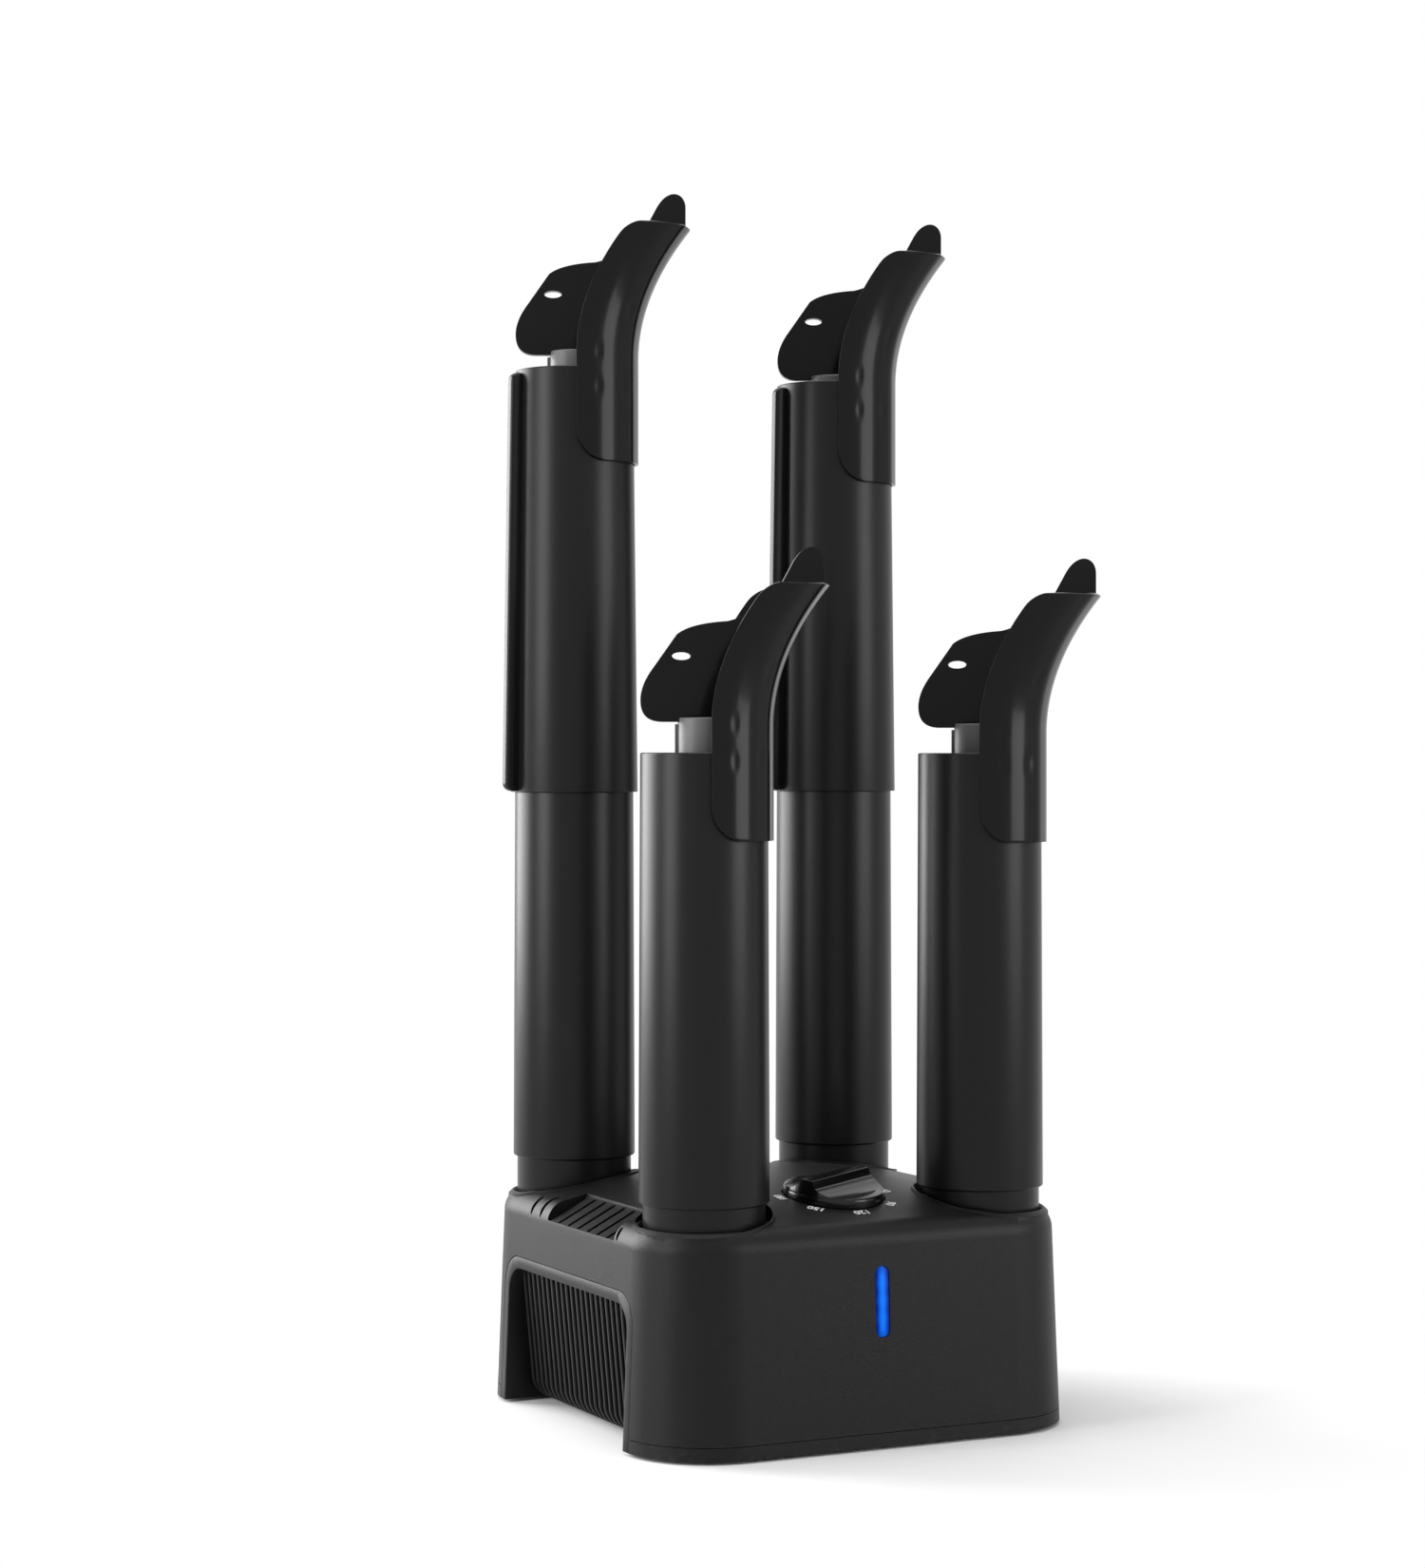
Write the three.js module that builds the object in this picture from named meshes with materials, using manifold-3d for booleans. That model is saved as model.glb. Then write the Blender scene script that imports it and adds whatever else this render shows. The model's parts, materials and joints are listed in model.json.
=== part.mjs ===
// Boot dryer: a moulded case with a fan and heater inside, four upright air tubes, two extension
// tubes on the rear pair, and a turning, sliding boot head on top of each tube.
// Millimetres, +Z up, front of the case towards -Y. The origin is the middle of the flat underside.
import * as THREE from 'three';
import { mergeVertices } from 'three/addons/utils/BufferGeometryUtils.js';
import Module from 'manifold-3d';

const wasm = await Module();
wasm.setup();

// Clearances
const SEAT_GAP = 0.3;
const SLIP_GAP = 0.5;
const SHELL_GAP = 1;

// How far cutters run past what they cut, and how deep joined solids are sunk into each other
const CUT_PAST = 5;
const SUNK = 1;

// Case
const CASE_WIDTH = 224;
const CASE_CORNER_RADIUS = 42;
const WALL_HEIGHT = 91;
const WALL_DRAFT = 3.6;
const SHOULDER_RADIUS = 11;
const CROWN_RISE = 10.5;
const CROWN_POWER = 2.5;
const CROWN_SQUARENESS = 0.72;
const SHOULDER_ANGLES = [0, 28, 56, 82];
const CROWN_SHARES = [0.82, 0.58, 0.3];
const CASE_WALL = 2.6;
const TRAY_HEIGHT = 6;
const TRAY_FLOOR = 2.5;
const TRAY_LIP = 5;
const TRAY_LIP_WALL = 1.8;

// Tubes and their sockets. The inset runs from a side of the case to a tube's axis.
const TUBE_INSET = 39;
const TUBE_RADIUS = 30;
const TUBE_TOP_RADIUS = 29.2;
const TUBE_WALL = 1.8;
const TUBE_BOTTOM = 115;
const TUBE_LENGTH = 201;
const TUBE_CHAMFER = 0.5;
const TUBE_STEP = 2;
const SPIGOT_RADIUS = 28.1;
const SPIGOT_DEPTH = 24;
const SOCKET_RIM_HEIGHT = 101;
const SOCKET_WALL = 3.9;
const SOCKET_SEAT_WIDTH = 7.5;
const SOCKET_BEAD = 1;
const SOCKET_WEB = 10;
const SOCKET_FLARE = 2;
const SOCKET_SEAT_THICKNESS = 2.3;

// Extension tubes
const EXTENSION_LENGTH = 208;
const EXTENSION_OVERLAP = 19;
const EXTENSION_SKIRT_WALL = 1.2;
const FIN_WIDTH = 6;
const FIN_PROUD_BOTTOM = 6.4;
const FIN_PROUD_TOP = 5.4;
const FIN_CORNER = 4;
const FIN_END_BOTTOM = 0.5;
const FIN_END_TOP = 2;

// Turning inserts in the tube tops
const INSERT_HEIGHT = 18;
const INSERT_SINK = 1;
const INSERT_RING_WALL = 1.8;
const INSERT_HUB_WALL = 3;
const SPOKE_COUNT = 3;
const SPOKE_WIDTH = 3;
const LEDGE_WIDTH = 2.2;
const LEDGE_HEIGHT = 1.6;

// Boot heads: a flat core on a round stem, and a half-round shell that bends forward over the toe
const STEM_RADIUS = 12;
const STEM_WALL = 2.4;
const STEM_KEY_WIDTH = 2.4;
const STEM_KEY_PROUD = 1.3;
const STEM_HOLD = 13.5;
const STEM_RISE = 2;
const HEAD_TRAVEL = 30;
const HEAD_LOWEST_GAP = 2;
const PLATE_THICKNESS = 6;
const HEEL_REACH = 29;
const HEEL_CORNER = 10;
const KNEE_HEIGHT = 25;
const KNEE_SETBACK = 6;
const KNEE_BEND = 8;
const BACK_HEIGHT = 45;
const BACK_DROP = 5;
const BACK_MARGIN = 2;
const BACK_BEND = 6.3;
const BACK_RISE = 1;
const SLOT_LENGTH = 10;
const SLOT_HEIGHT = 4.2;
const SLOT_OFFSET = 10.5;
const SLOT_RISE = 30;
const LEAF_HEIGHT = 81;
const LEAF_WIDTH = 17;
const LEAF_ROUND = 8;
const LEAF_BULGE = 3;
const LEAF_LEAN = 2;
const LEAF_TIP_DROP = 9;
const LEAF_ROOT_DROP = 22;
const LEAF_ROOT_FLARE = 5;
const NECK_BEND = 15;
const NECK_RISE = 4;
const SHELL_WALL = 1.6;
const SHELL_WRAP = 88;
const SHELL_COLUMNS = 12;
const SHELL_SKIRT = 54;
const SHELL_TOP_CORNER = 6;
const SHELL_FOOT_CORNER = 16;
const SHELL_RIDGE = 0.7;
const SHELL_RIDGE_COLUMN = 2;
const SHELL_RIDGE_SPREAD = 0.16;
const BILL_START = -2.5;
const BILL_STEP = 16.2;
const BILL_ROWS = 4;
const BILL_CURVE = 0.0061;
const PLATE_EDGE_GAP = 0.7;

// Side intakes. The inset runs from the front or back of the case to an end of the arch.
const ARCH_INSET = 38;
const ARCH_HEIGHT = 71;
const ARCH_CORNER = 15;
const ARCH_FRAME = 5.5;
const SLAT_COUNT = 24;
const SLAT_THICKNESS = 2.4;
const SLAT_DEPTH = 5;
const SLAT_RECESS_TOP = 5;
const SLAT_RECESS_LOW = 13;
const SLAT_FOOT_RADIUS = 12;
const SLAT_BAR = 4;

// Shoulder louvres, from their outer to their inner ends, with the middle of the row ahead of the case's
const LOUVRE_COUNT = 10;
const LOUVRE_PITCH = 11;
const LOUVRE_LEAD = 4.2;
const LOUVRE_WIDTH = 5;
const LOUVRE_NOSE = 1.5;
const LOUVRE_INSET = 4;
const LOUVRE_LENGTH = 20.4;
const LOUVRE_SHORTEST = 3;
const LOUVRE_SOCKET_MARGIN = 4.5;
const LOUVRE_DEPTH = 10;

// Light bar
const LIGHT_WIDTH = 6.8;
const LIGHT_LOW = 49.5;
const LIGHT_HEIGHT = 32;
const LIGHT_ROUNDING = 0.98;
const LIGHT_FLANGE = 1.8;
const LIGHT_FLANGE_PROUD = 1.6;
const BOARD_WIDTH = 14.4;
const BOARD_THICKNESS = 1.6;
const BOARD_MARGIN = 5.5;
const BOARD_RIB = 2;

// Timer and knob
const KNOB_OFFSET = 62;
const KNOB_TILT = 8;
const KNOB_RADIUS = 23.7;
const KNOB_SKIRT = 5;
const KNOB_HEIGHT = 12;
const KNOB_CHAMFER = 0.7;
const KNOB_ROUND = 2.4;
const KNOB_ROOF = 4;
const GRIP_WIDTH = 9.2;
const GRIP_FOOT = 27;
const GRIP_FLARE = 1.4;
const GRIP_SINK = 0.3;
const GRIP_MARGIN = 0.6;
const GRIP_END = 5.5;
const KNOB_REST_ANGLE = 245;
const DIAL_PAD_RADIUS = 25.4;
const DIAL_PAD_PROUD = 0.3;
const DIAL_PAD_DEPTH = 4;
const SHAFT_RADIUS = 3;
const TIMER_WIDTH = 36;
const TIMER_DEPTH = 28;
const TIMER_HEIGHT = 20;
const TIMER_CORNER = 4;
const TIMER_COVER = 3;
const TIMER_BOSS_RADIUS = 9;
const TIMER_BOSS_DEPTH = 1.5;

// Fan, heater and manifold
const FAN_RADIUS = 44;
const FAN_WALL = 3;
const FAN_LOW = 20;
const FAN_HEIGHT = 25;
const FAN_LEG_RADIUS = 3.4;
const FAN_SPOKE = 5;
const FAN_PLATE = 4;
const MOTOR_SEAT = 1;
const MOTOR_RADIUS = 15;
const MOTOR_HEIGHT = 12;
const MOTOR_SHAFT_RADIUS = 1.5;
const IMPELLER_HUB_WALL = 2;
const IMPELLER_HUB_CHAMFER = 1.5;
const IMPELLER_HEIGHT = 16;
const BLADE_COUNT = 7;
const BLADE_CHORD = 17.25;
const BLADE_CAMBER = 2.76;
const BLADE_THICKNESS = 1.6;
const BLADE_PITCH = 38;
const BLADE_TIP_GAP = 1.5;
const HEATER_HEIGHT = 14;
const HEATER_LEDGE = 2;
const HEATER_WIDTH = 60;
const HEATER_DEPTH = 50;
const HEATER_FIN_COUNT = 11;
const HEATER_FIN = 1.6;
const HEATER_RAIL = 3;
const HEATER_SINK = 1;
const CUTOUT_RADIUS = 4.2;
const CUTOUT_HEIGHT = 6;
const CUTOUT_ROUND = 1;
const CUTOUT_INSET = 8.5;
const MANIFOLD_WALL = 1.8;
const MANIFOLD_HEIGHT = 22;
const ARM_WIDTH = 30;
const ARM_HEIGHT = 13;
const ARM_DROP = 1;
const CUP_RADIUS = 23.4;
const CUP_DEPTH = 16;

// Gland, feet and screws
const GLAND_HEIGHT = 24;
const GLAND_RADIUS = 5.6;
const GLAND_BORE = 3.6;
const GLAND_FLANGE_RADIUS = 8.4;
const GLAND_FLANGE = 2;
const GLAND_LIP = 1.6;
const GLAND_SLOPE = 0.4;
const GLAND_CHAMFER = 1;
const FOOT_RADIUS = 8;
const FOOT_PROUD = 1.5;
const FOOT_RECESS = 1.5;
const FOOT_CHAMFER = 0.7;
const FOOT_INSET_X = 46;
const FOOT_INSET_Y = 19;
const SCREW_INSET_X = 18.5;
const SCREW_INSET_Y = 19;
const SCREW_RADIUS = 1.6;
const SCREW_LENGTH = 15;
const SCREW_HEAD_RADIUS = 3.4;
const SCREW_HEAD_HEIGHT = 2.6;
const SCREW_CHAMFER = 0.6;
const SCREW_TIP = 1.5;
const SCREW_RECESS = 4;
const SCREW_SEAT_WALL = 0.8;
const PILOT_PAST = 2;
const BOSS_RADIUS = 4.2;

// Rest positions of the four heads: the turn about the tube and the height above the lowest place
const HEADS = [
  { name: 'front_left', side: -1, end: -1, turn: -22, lift: 12 },
  { name: 'front_right', side: 1, end: -1, turn: -33, lift: 10 },
  { name: 'rear_left', side: -1, end: 1, turn: -24, lift: 6 },
  { name: 'rear_right', side: 1, end: 1, turn: -26, lift: 1 },
];

// Facets round a full turn on large and on small round pieces
const ROUND = 20;
const MEDIUM_ROUND = 14;
const SMALL_ROUND = 8;

// Sizes, places and heights that follow from the driving dimensions
const CASE_HALF = CASE_WIDTH / 2;
const WALL_TOP_HALF = CASE_HALF - WALL_DRAFT;
const SOCKET_BORE = SPIGOT_RADIUS + SLIP_GAP;
const SOCKET_RADIUS = SOCKET_BORE + SOCKET_WALL;
const SPIGOT_BOTTOM = SOCKET_RIM_HEIGHT - SPIGOT_DEPTH;
const SEAT_TOP = SPIGOT_BOTTOM - SEAT_GAP;
const SEAT_BOTTOM = SEAT_TOP - SOCKET_SEAT_THICKNESS;
const TUBE_TOP = TUBE_BOTTOM + TUBE_LENGTH;
const EXTENSION_BOTTOM = TUBE_TOP - EXTENSION_OVERLAP;
const EXTENSION_TOP = EXTENSION_BOTTOM + EXTENSION_LENGTH;
const TUBE_HALF = CASE_HALF - TUBE_INSET;
const EXTENSION_BORE = TUBE_TOP_RADIUS + SEAT_GAP
  + ((TUBE_RADIUS - TUBE_TOP_RADIUS) * EXTENSION_OVERLAP) / TUBE_LENGTH;
const EXTENSION_BOTTOM_RADIUS = EXTENSION_BORE + EXTENSION_SKIRT_WALL;
const SHELL_INNER = TUBE_TOP_RADIUS + SHELL_GAP;
const SHELL_RADIUS = SHELL_INNER + SHELL_WALL;
const ARCH_HALF_WIDTH = CASE_HALF - ARCH_INSET;
const LOUVRE_OUTER = CASE_HALF - LOUVRE_INSET;
const FOOT_X = CASE_HALF - FOOT_INSET_X;
const FOOT_Y = CASE_HALF - FOOT_INSET_Y;
const SCREW_X = CASE_HALF - SCREW_INSET_X;
const SCREW_Y = CASE_HALF - SCREW_INSET_Y;
const TIMER_BOSS_LOW = -CASE_WALL - TIMER_BOSS_DEPTH;
const SHAFT_TOP = KNOB_HEIGHT - KNOB_ROOF;
const MOTOR_LOW = FAN_LOW + FAN_PLATE + SEAT_GAP;
const FAN_TOP = FAN_LOW + FAN_HEIGHT;
const HEATER_LOW = FAN_TOP + SEAT_GAP;
const HEATER_TOP = HEATER_LOW + HEATER_HEIGHT;
const MANIFOLD_LOW = HEATER_TOP + SEAT_GAP;
const MANIFOLD_TOP = MANIFOLD_LOW + MANIFOLD_HEIGHT;
const SLAT_FOOT_X = CASE_HALF - SLAT_RECESS_LOW - SLAT_FOOT_RADIUS;
const radians = THREE.MathUtils.degToRad;

// Solids

function solidOf(geometry) {
  const bare = geometry.index ? geometry.toNonIndexed() : geometry.clone();
  bare.deleteAttribute('normal');
  bare.deleteAttribute('uv');
  const merged = mergeVertices(bare, 1e-4);
  const mesh = new wasm.Mesh({
    numProp: 3,
    vertProperties: new Float32Array(merged.attributes.position.array),
    triVerts: new Uint32Array(merged.index.array),
  });
  return new wasm.Manifold(mesh);
}

function geometryOf(solid) {
  const mesh = solid.getMesh();
  const geometry = new THREE.BufferGeometry();
  geometry.setAttribute('position', new THREE.BufferAttribute(new Float32Array(mesh.vertProperties), 3));
  geometry.setIndex(new THREE.BufferAttribute(new Uint32Array(mesh.triVerts), 1));
  const flat = geometry.toNonIndexed();
  flat.computeVertexNormals();
  return flat;
}

function joined(solids) {
  return solids.reduce((total, solid) => total.add(solid));
}

function cut(solid, tools) {
  return tools.reduce((rest, tool) => rest.subtract(tool), solid);
}

function moved(geometry, x, y, z) {
  geometry.translate(x, y, z);
  return geometry;
}

function box(low, high) {
  const size = high.map((value, i) => value - low[i]);
  const geometry = new THREE.BoxGeometry(...size);
  return solidOf(moved(geometry, ...low.map((value, i) => value + size[i] / 2)));
}

// A level slab wider than the case
function slab(low, high) {
  return box([-CASE_WIDTH, -CASE_WIDTH, low], [CASE_WIDTH, CASE_WIDTH, high]);
}

// A solid of revolution about Z from a closed profile of [radius, height] points
function turned(profile, facets = ROUND) {
  const points = profile.map(([r, z]) => new THREE.Vector2(r, z));
  if (profile.every(([r]) => r > 0)) points.push(points[0].clone());
  const geometry = new THREE.LatheGeometry(points, facets);
  geometry.rotateX(Math.PI / 2);
  return outward(geometry);
}

function outward(geometry) {
  const solid = solidOf(geometry);
  return solid.volume() > 0 ? solid : solidOf(flipped(geometry));
}

function flipped(geometry) {
  const flat = geometry.index ? geometry.toNonIndexed() : geometry.clone();
  const array = flat.attributes.position.array;
  for (let i = 0; i < array.length; i += 9) {
    for (let k = 0; k < 3; k += 1) {
      const swap = array[i + 3 + k];
      array[i + 3 + k] = array[i + 6 + k];
      array[i + 6 + k] = swap;
    }
  }
  return flat;
}

function disc(radius, low, high, facets = ROUND) {
  return turned([[0, low], [radius, low], [radius, high], [0, high]], facets);
}

function ring(inner, outer, low, high, facets = ROUND) {
  return turned([[inner, low], [outer, low], [outer, high], [inner, high]], facets);
}

function at(solid, x, y, z = 0) {
  return solid.translate([x, y, z]);
}

// A flat outline raised along Z
function raised(shape, low, high, curveSegments = 3) {
  const options = { depth: high - low, bevelEnabled: false, curveSegments };
  const geometry = new THREE.ExtrudeGeometry(shape, options);
  return outward(moved(geometry, 0, 0, low));
}

// A flat outline in the YZ plane, extruded along X from low to high
function extrudedAlongX(shape, low, high, curveSegments = 2) {
  const options = { depth: high - low, bevelEnabled: false, curveSegments };
  const geometry = new THREE.ExtrudeGeometry(shape, options);
  geometry.rotateX(Math.PI / 2);
  geometry.rotateZ(Math.PI / 2);
  return outward(moved(geometry, low, 0, 0));
}

// A flat outline in the XZ plane, extruded along Y and centred on the middle of its thickness
function extrudedAlongY(shape, thickness, curveSegments = 6) {
  const options = { depth: thickness, bevelEnabled: false, curveSegments };
  const geometry = new THREE.ExtrudeGeometry(shape, options);
  geometry.rotateX(Math.PI / 2);
  return outward(moved(geometry, 0, thickness / 2, 0));
}

function rectangle(x0, y0, x1, y1, radius) {
  const shape = new THREE.Shape();
  shape.moveTo(x0 + radius, y0);
  shape.lineTo(x1 - radius, y0);
  shape.absarc(x1 - radius, y0 + radius, radius, -Math.PI / 2, 0);
  shape.absarc(x1 - radius, y1 - radius, radius, 0, Math.PI / 2);
  shape.absarc(x0 + radius, y1 - radius, radius, Math.PI / 2, Math.PI);
  shape.absarc(x0 + radius, y0 + radius, radius, Math.PI, Math.PI * 1.5);
  return shape;
}

function material(color, roughness, metalness = 0) {
  return new THREE.MeshStandardMaterial({ color, roughness, metalness });
}

const MATTE_BLACK = material(0x2b2b2c, 0.62);
const TUBE_BLACK = material(0x232324, 0.45);
const GLOSS_BLACK = material(0x141415, 0.25);
const DARK_GREY = material(0x3a3a3c, 0.7);
const LIGHT_BLUE = material(0x1450ff, 0.2);
const STEEL = material(0xb9bcc0, 0.3, 0.9);
const ALUMINIUM = material(0xc8cacc, 0.4, 0.9);
const MICA = material(0xb8a887, 0.8);
const BOARD_GREEN = material(0x1f5c3a, 0.5);
const RUBBER = material(0x1a1a1a, 0.9);
const WHITE_NYLON = material(0xe4e2dc, 0.5);

function mesh(name, solid, finish) {
  const piece = new THREE.Mesh(geometryOf(solid), finish);
  piece.name = name;
  return piece;
}

// Case outline: rounded squares stacked into one closed skin

function roundedSquare(half, radius, steps = 4) {
  const points = [];
  const centre = half - radius;
  for (let corner = 0; corner < 4; corner += 1) {
    const start = (corner * Math.PI) / 2;
    const cx = centre * Math.sign(Math.cos(start + Math.PI / 4));
    const cy = centre * Math.sign(Math.sin(start + Math.PI / 4));
    for (let step = 0; step <= steps; step += 1) {
      const angle = start + (step / steps) * (Math.PI / 2);
      points.push([cx + radius * Math.cos(angle), cy + radius * Math.sin(angle)]);
    }
  }
  return points;
}

// A closed skin through level rings of equal point counts, from the lowest to the highest
function lofted(rings) {
  const count = rings[0].points.length;
  const positions = [];
  for (const { points, z } of rings) for (const [x, y] of points) positions.push(x, y, z);
  const triangles = [];
  for (let row = 0; row + 1 < rings.length; row += 1) {
    for (let i = 0; i < count; i += 1) {
      const a = row * count + i;
      const b = row * count + ((i + 1) % count);
      triangles.push(a, b, b + count, a, b + count, a + count);
    }
  }
  const low = positions.length / 3;
  positions.push(0, 0, rings[0].z, 0, 0, rings[rings.length - 1].z);
  const top = (rings.length - 1) * count;
  for (let i = 0; i < count; i += 1) {
    const next = (i + 1) % count;
    triangles.push(low, next, i, low + 1, top + i, top + next);
  }
  const geometry = new THREE.BufferGeometry();
  geometry.setAttribute('position', new THREE.Float32BufferAttribute(positions, 3));
  geometry.setIndex(triangles);
  return outward(geometry);
}

function caseHalfAt(z) {
  return CASE_HALF - (WALL_DRAFT * Math.min(z, WALL_HEIGHT)) / WALL_HEIGHT;
}

function crownHeightAt(half) {
  const plateau = WALL_TOP_HALF - SHOULDER_RADIUS;
  const share = Math.min(1, half / plateau);
  return WALL_HEIGHT + SHOULDER_RADIUS + CROWN_RISE * (1 - share ** CROWN_POWER);
}

// The outer skin of the case, or with an inset the skin of its hollow
function caseSkin(inset, bottom) {
  const rings = [];
  const plateau = WALL_TOP_HALF - SHOULDER_RADIUS;
  const add = (half, radius, z) => rings.push({ points: roundedSquare(half, radius), z });
  const addWall = (half, z) => add(half, CASE_CORNER_RADIUS - CASE_HALF + half, z);
  addWall(caseHalfAt(bottom) - inset, bottom);
  for (const angle of SHOULDER_ANGLES) {
    const reach = SHOULDER_RADIUS - inset;
    addWall(plateau + reach * Math.cos(radians(angle)), WALL_HEIGHT + reach * Math.sin(radians(angle)));
  }
  for (const share of CROWN_SHARES) {
    const half = plateau * share;
    add(half, half * (1 - CROWN_SQUARENESS * share), crownHeightAt(half) - inset);
  }
  return lofted(rings);
}

const outerSkin = caseSkin(0, 0);

function archShape(halfWidth, height, corner, foot) {
  const shape = new THREE.Shape();
  shape.moveTo(-halfWidth, foot);
  shape.lineTo(halfWidth, foot);
  shape.lineTo(halfWidth, height - corner);
  shape.absarc(halfWidth - corner, height - corner, corner, 0, Math.PI / 2);
  shape.absarc(-halfWidth + corner, height - corner, corner, Math.PI / 2, Math.PI);
  return shape;
}

// The pocket under one side arch, cut through the case wall and the edge of the tray floor
function archCutter(side, grow) {
  const shape = archShape(ARCH_HALF_WIDTH + grow, ARCH_HEIGHT + grow, ARCH_CORNER, -CUT_PAST);
  const inner = SLAT_FOOT_X - SLAT_DEPTH - grow;
  const outer = CASE_HALF + CUT_PAST;
  const low = side < 0 ? -outer : inner;
  const high = side < 0 ? -inner : outer;
  return extrudedAlongX(shape, low, high);
}

function forCorners(make) {
  return [[-1, -1], [1, -1], [-1, 1], [1, 1]].map(([sx, sy]) => make(sx, sy));
}

// Degrees from +X to the diagonal through one corner
function diagonal(sx, sy) {
  return THREE.MathUtils.radToDeg(Math.atan2(sy, sx));
}

function tilted(solid) {
  const raisedTo = crownHeightAt(KNOB_OFFSET);
  return solid.rotate([KNOB_TILT, 0, 0]).translate([0, -KNOB_OFFSET, raisedTo]);
}

// One stadium-shaped slot of the shoulder louvres, shortened where a socket is near
function louvreCutter(side, index) {
  const y = (index - (LOUVRE_COUNT - 1) / 2) * LOUVRE_PITCH - LOUVRE_LEAD;
  let inner = LOUVRE_OUTER - LOUVRE_LENGTH;
  for (const end of [-TUBE_HALF, TUBE_HALF]) {
    const reach = SOCKET_RADIUS + LOUVRE_SOCKET_MARGIN;
    const away = Math.abs(y - end);
    if (away < reach) inner = Math.max(inner, TUBE_HALF + Math.sqrt(reach ** 2 - away ** 2));
  }
  if (LOUVRE_OUTER - inner < LOUVRE_SHORTEST) return null;
  const half = LOUVRE_WIDTH / 2;
  const shape = new THREE.Shape();
  shape.moveTo(inner, y);
  shape.lineTo(inner + LOUVRE_NOSE, y - half);
  shape.lineTo(LOUVRE_OUTER - LOUVRE_NOSE, y - half);
  shape.lineTo(LOUVRE_OUTER, y);
  shape.lineTo(LOUVRE_OUTER - LOUVRE_NOSE, y + half);
  shape.lineTo(inner + LOUVRE_NOSE, y + half);
  const cutter = raised(shape, WALL_HEIGHT + SHOULDER_RADIUS - LOUVRE_DEPTH, crownHeightAt(0));
  return side < 0 ? cutter.mirror([1, 0, 0]) : cutter;
}

function topHousing() {
  const bottom = TRAY_HEIGHT + SEAT_GAP;
  const hollow = caseSkin(CASE_WALL, -SUNK);
  let shell = cut(outerSkin, [hollow, slab(-CUT_PAST, bottom)]);
  const sleeve = disc(SOCKET_RADIUS, SEAT_BOTTOM, WALL_HEIGHT);
  const collar = disc(SOCKET_RADIUS, SEAT_TOP, crownHeightAt(0));
  const beadSkin = caseSkin(-SOCKET_BEAD, 0);
  const pad = tilted(disc(DIAL_PAD_RADIUS, -DIAL_PAD_DEPTH, DIAL_PAD_PROUD));
  const timerBoss = tilted(disc(TIMER_BOSS_RADIUS, TIMER_BOSS_LOW, -SUNK, SMALL_ROUND));
  const web = box(
    [SOCKET_BORE, -SOCKET_WEB / 2, SEAT_BOTTOM],
    [SOCKET_RADIUS + SOCKET_WEB, SOCKET_WEB / 2, WALL_HEIGHT],
  );
  const webs = forCorners((sx, sy) => {
    const turnedWeb = web.rotate([0, 0, diagonal(sx, sy)]);
    return at(turnedWeb, sx * TUBE_HALF, sy * TUBE_HALF).intersect(outerSkin);
  });
  const screwPost = disc(BOSS_RADIUS, TRAY_HEIGHT + TRAY_FLOOR, SEAT_TOP, SMALL_ROUND);
  const posts = forCorners((sx, sy) => at(screwPost, sx * SCREW_X, sy * SCREW_Y).intersect(outerSkin));
  const sleeves = forCorners((sx, sy) => at(sleeve, sx * TUBE_HALF, sy * TUBE_HALF)
    .add(at(collar, sx * TUBE_HALF, sy * TUBE_HALF).intersect(beadSkin)));
  const ribs = [-1, 1].map((sx) => boardRib(sx));
  shell = joined([shell, ...sleeves, ...webs, pad, timerBoss, ...posts, ...ribs]);
  const above = crownHeightAt(0) + CUT_PAST;
  const throat = joined([
    turned([
      [0, SEAT_TOP], [SOCKET_BORE, SEAT_TOP], [SOCKET_BORE, SOCKET_RIM_HEIGHT - 2 * SOCKET_FLARE],
      [SOCKET_BORE + SOCKET_FLARE, SOCKET_RIM_HEIGHT], [SOCKET_BORE + SOCKET_FLARE, above], [0, above],
    ]),
    disc(SOCKET_BORE - SOCKET_SEAT_WIDTH, SEAT_BOTTOM - CUT_PAST, SEAT_TOP + SUNK),
  ]);
  const tools = forCorners((sx, sy) => at(throat, sx * TUBE_HALF, sy * TUBE_HALF));
  const pilot = disc(SCREW_RADIUS + SEAT_GAP, 0, SCREW_RECESS + SCREW_LENGTH + PILOT_PAST, SMALL_ROUND);
  tools.push(...forCorners((sx, sy) => at(pilot, sx * SCREW_X, sy * SCREW_Y)));
  tools.push(archCutter(-1, SEAT_GAP), archCutter(1, SEAT_GAP));
  for (let i = 0; i < LOUVRE_COUNT; i += 1) {
    for (const side of [-1, 1]) {
      const cutter = louvreCutter(side, i);
      if (cutter) tools.push(cutter);
    }
  }
  tools.push(lightBar(SEAT_GAP, -CASE_HALF - CUT_PAST, boardFront()));
  tools.push(tilted(disc(SHAFT_RADIUS + SLIP_GAP, TIMER_BOSS_LOW - CUT_PAST, CUT_PAST, SMALL_ROUND)));
  tools.push(glandHole());
  return cut(shell, tools);
}

// Base tray: floor, rim, inner lip, screw seats and foot recesses

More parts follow.
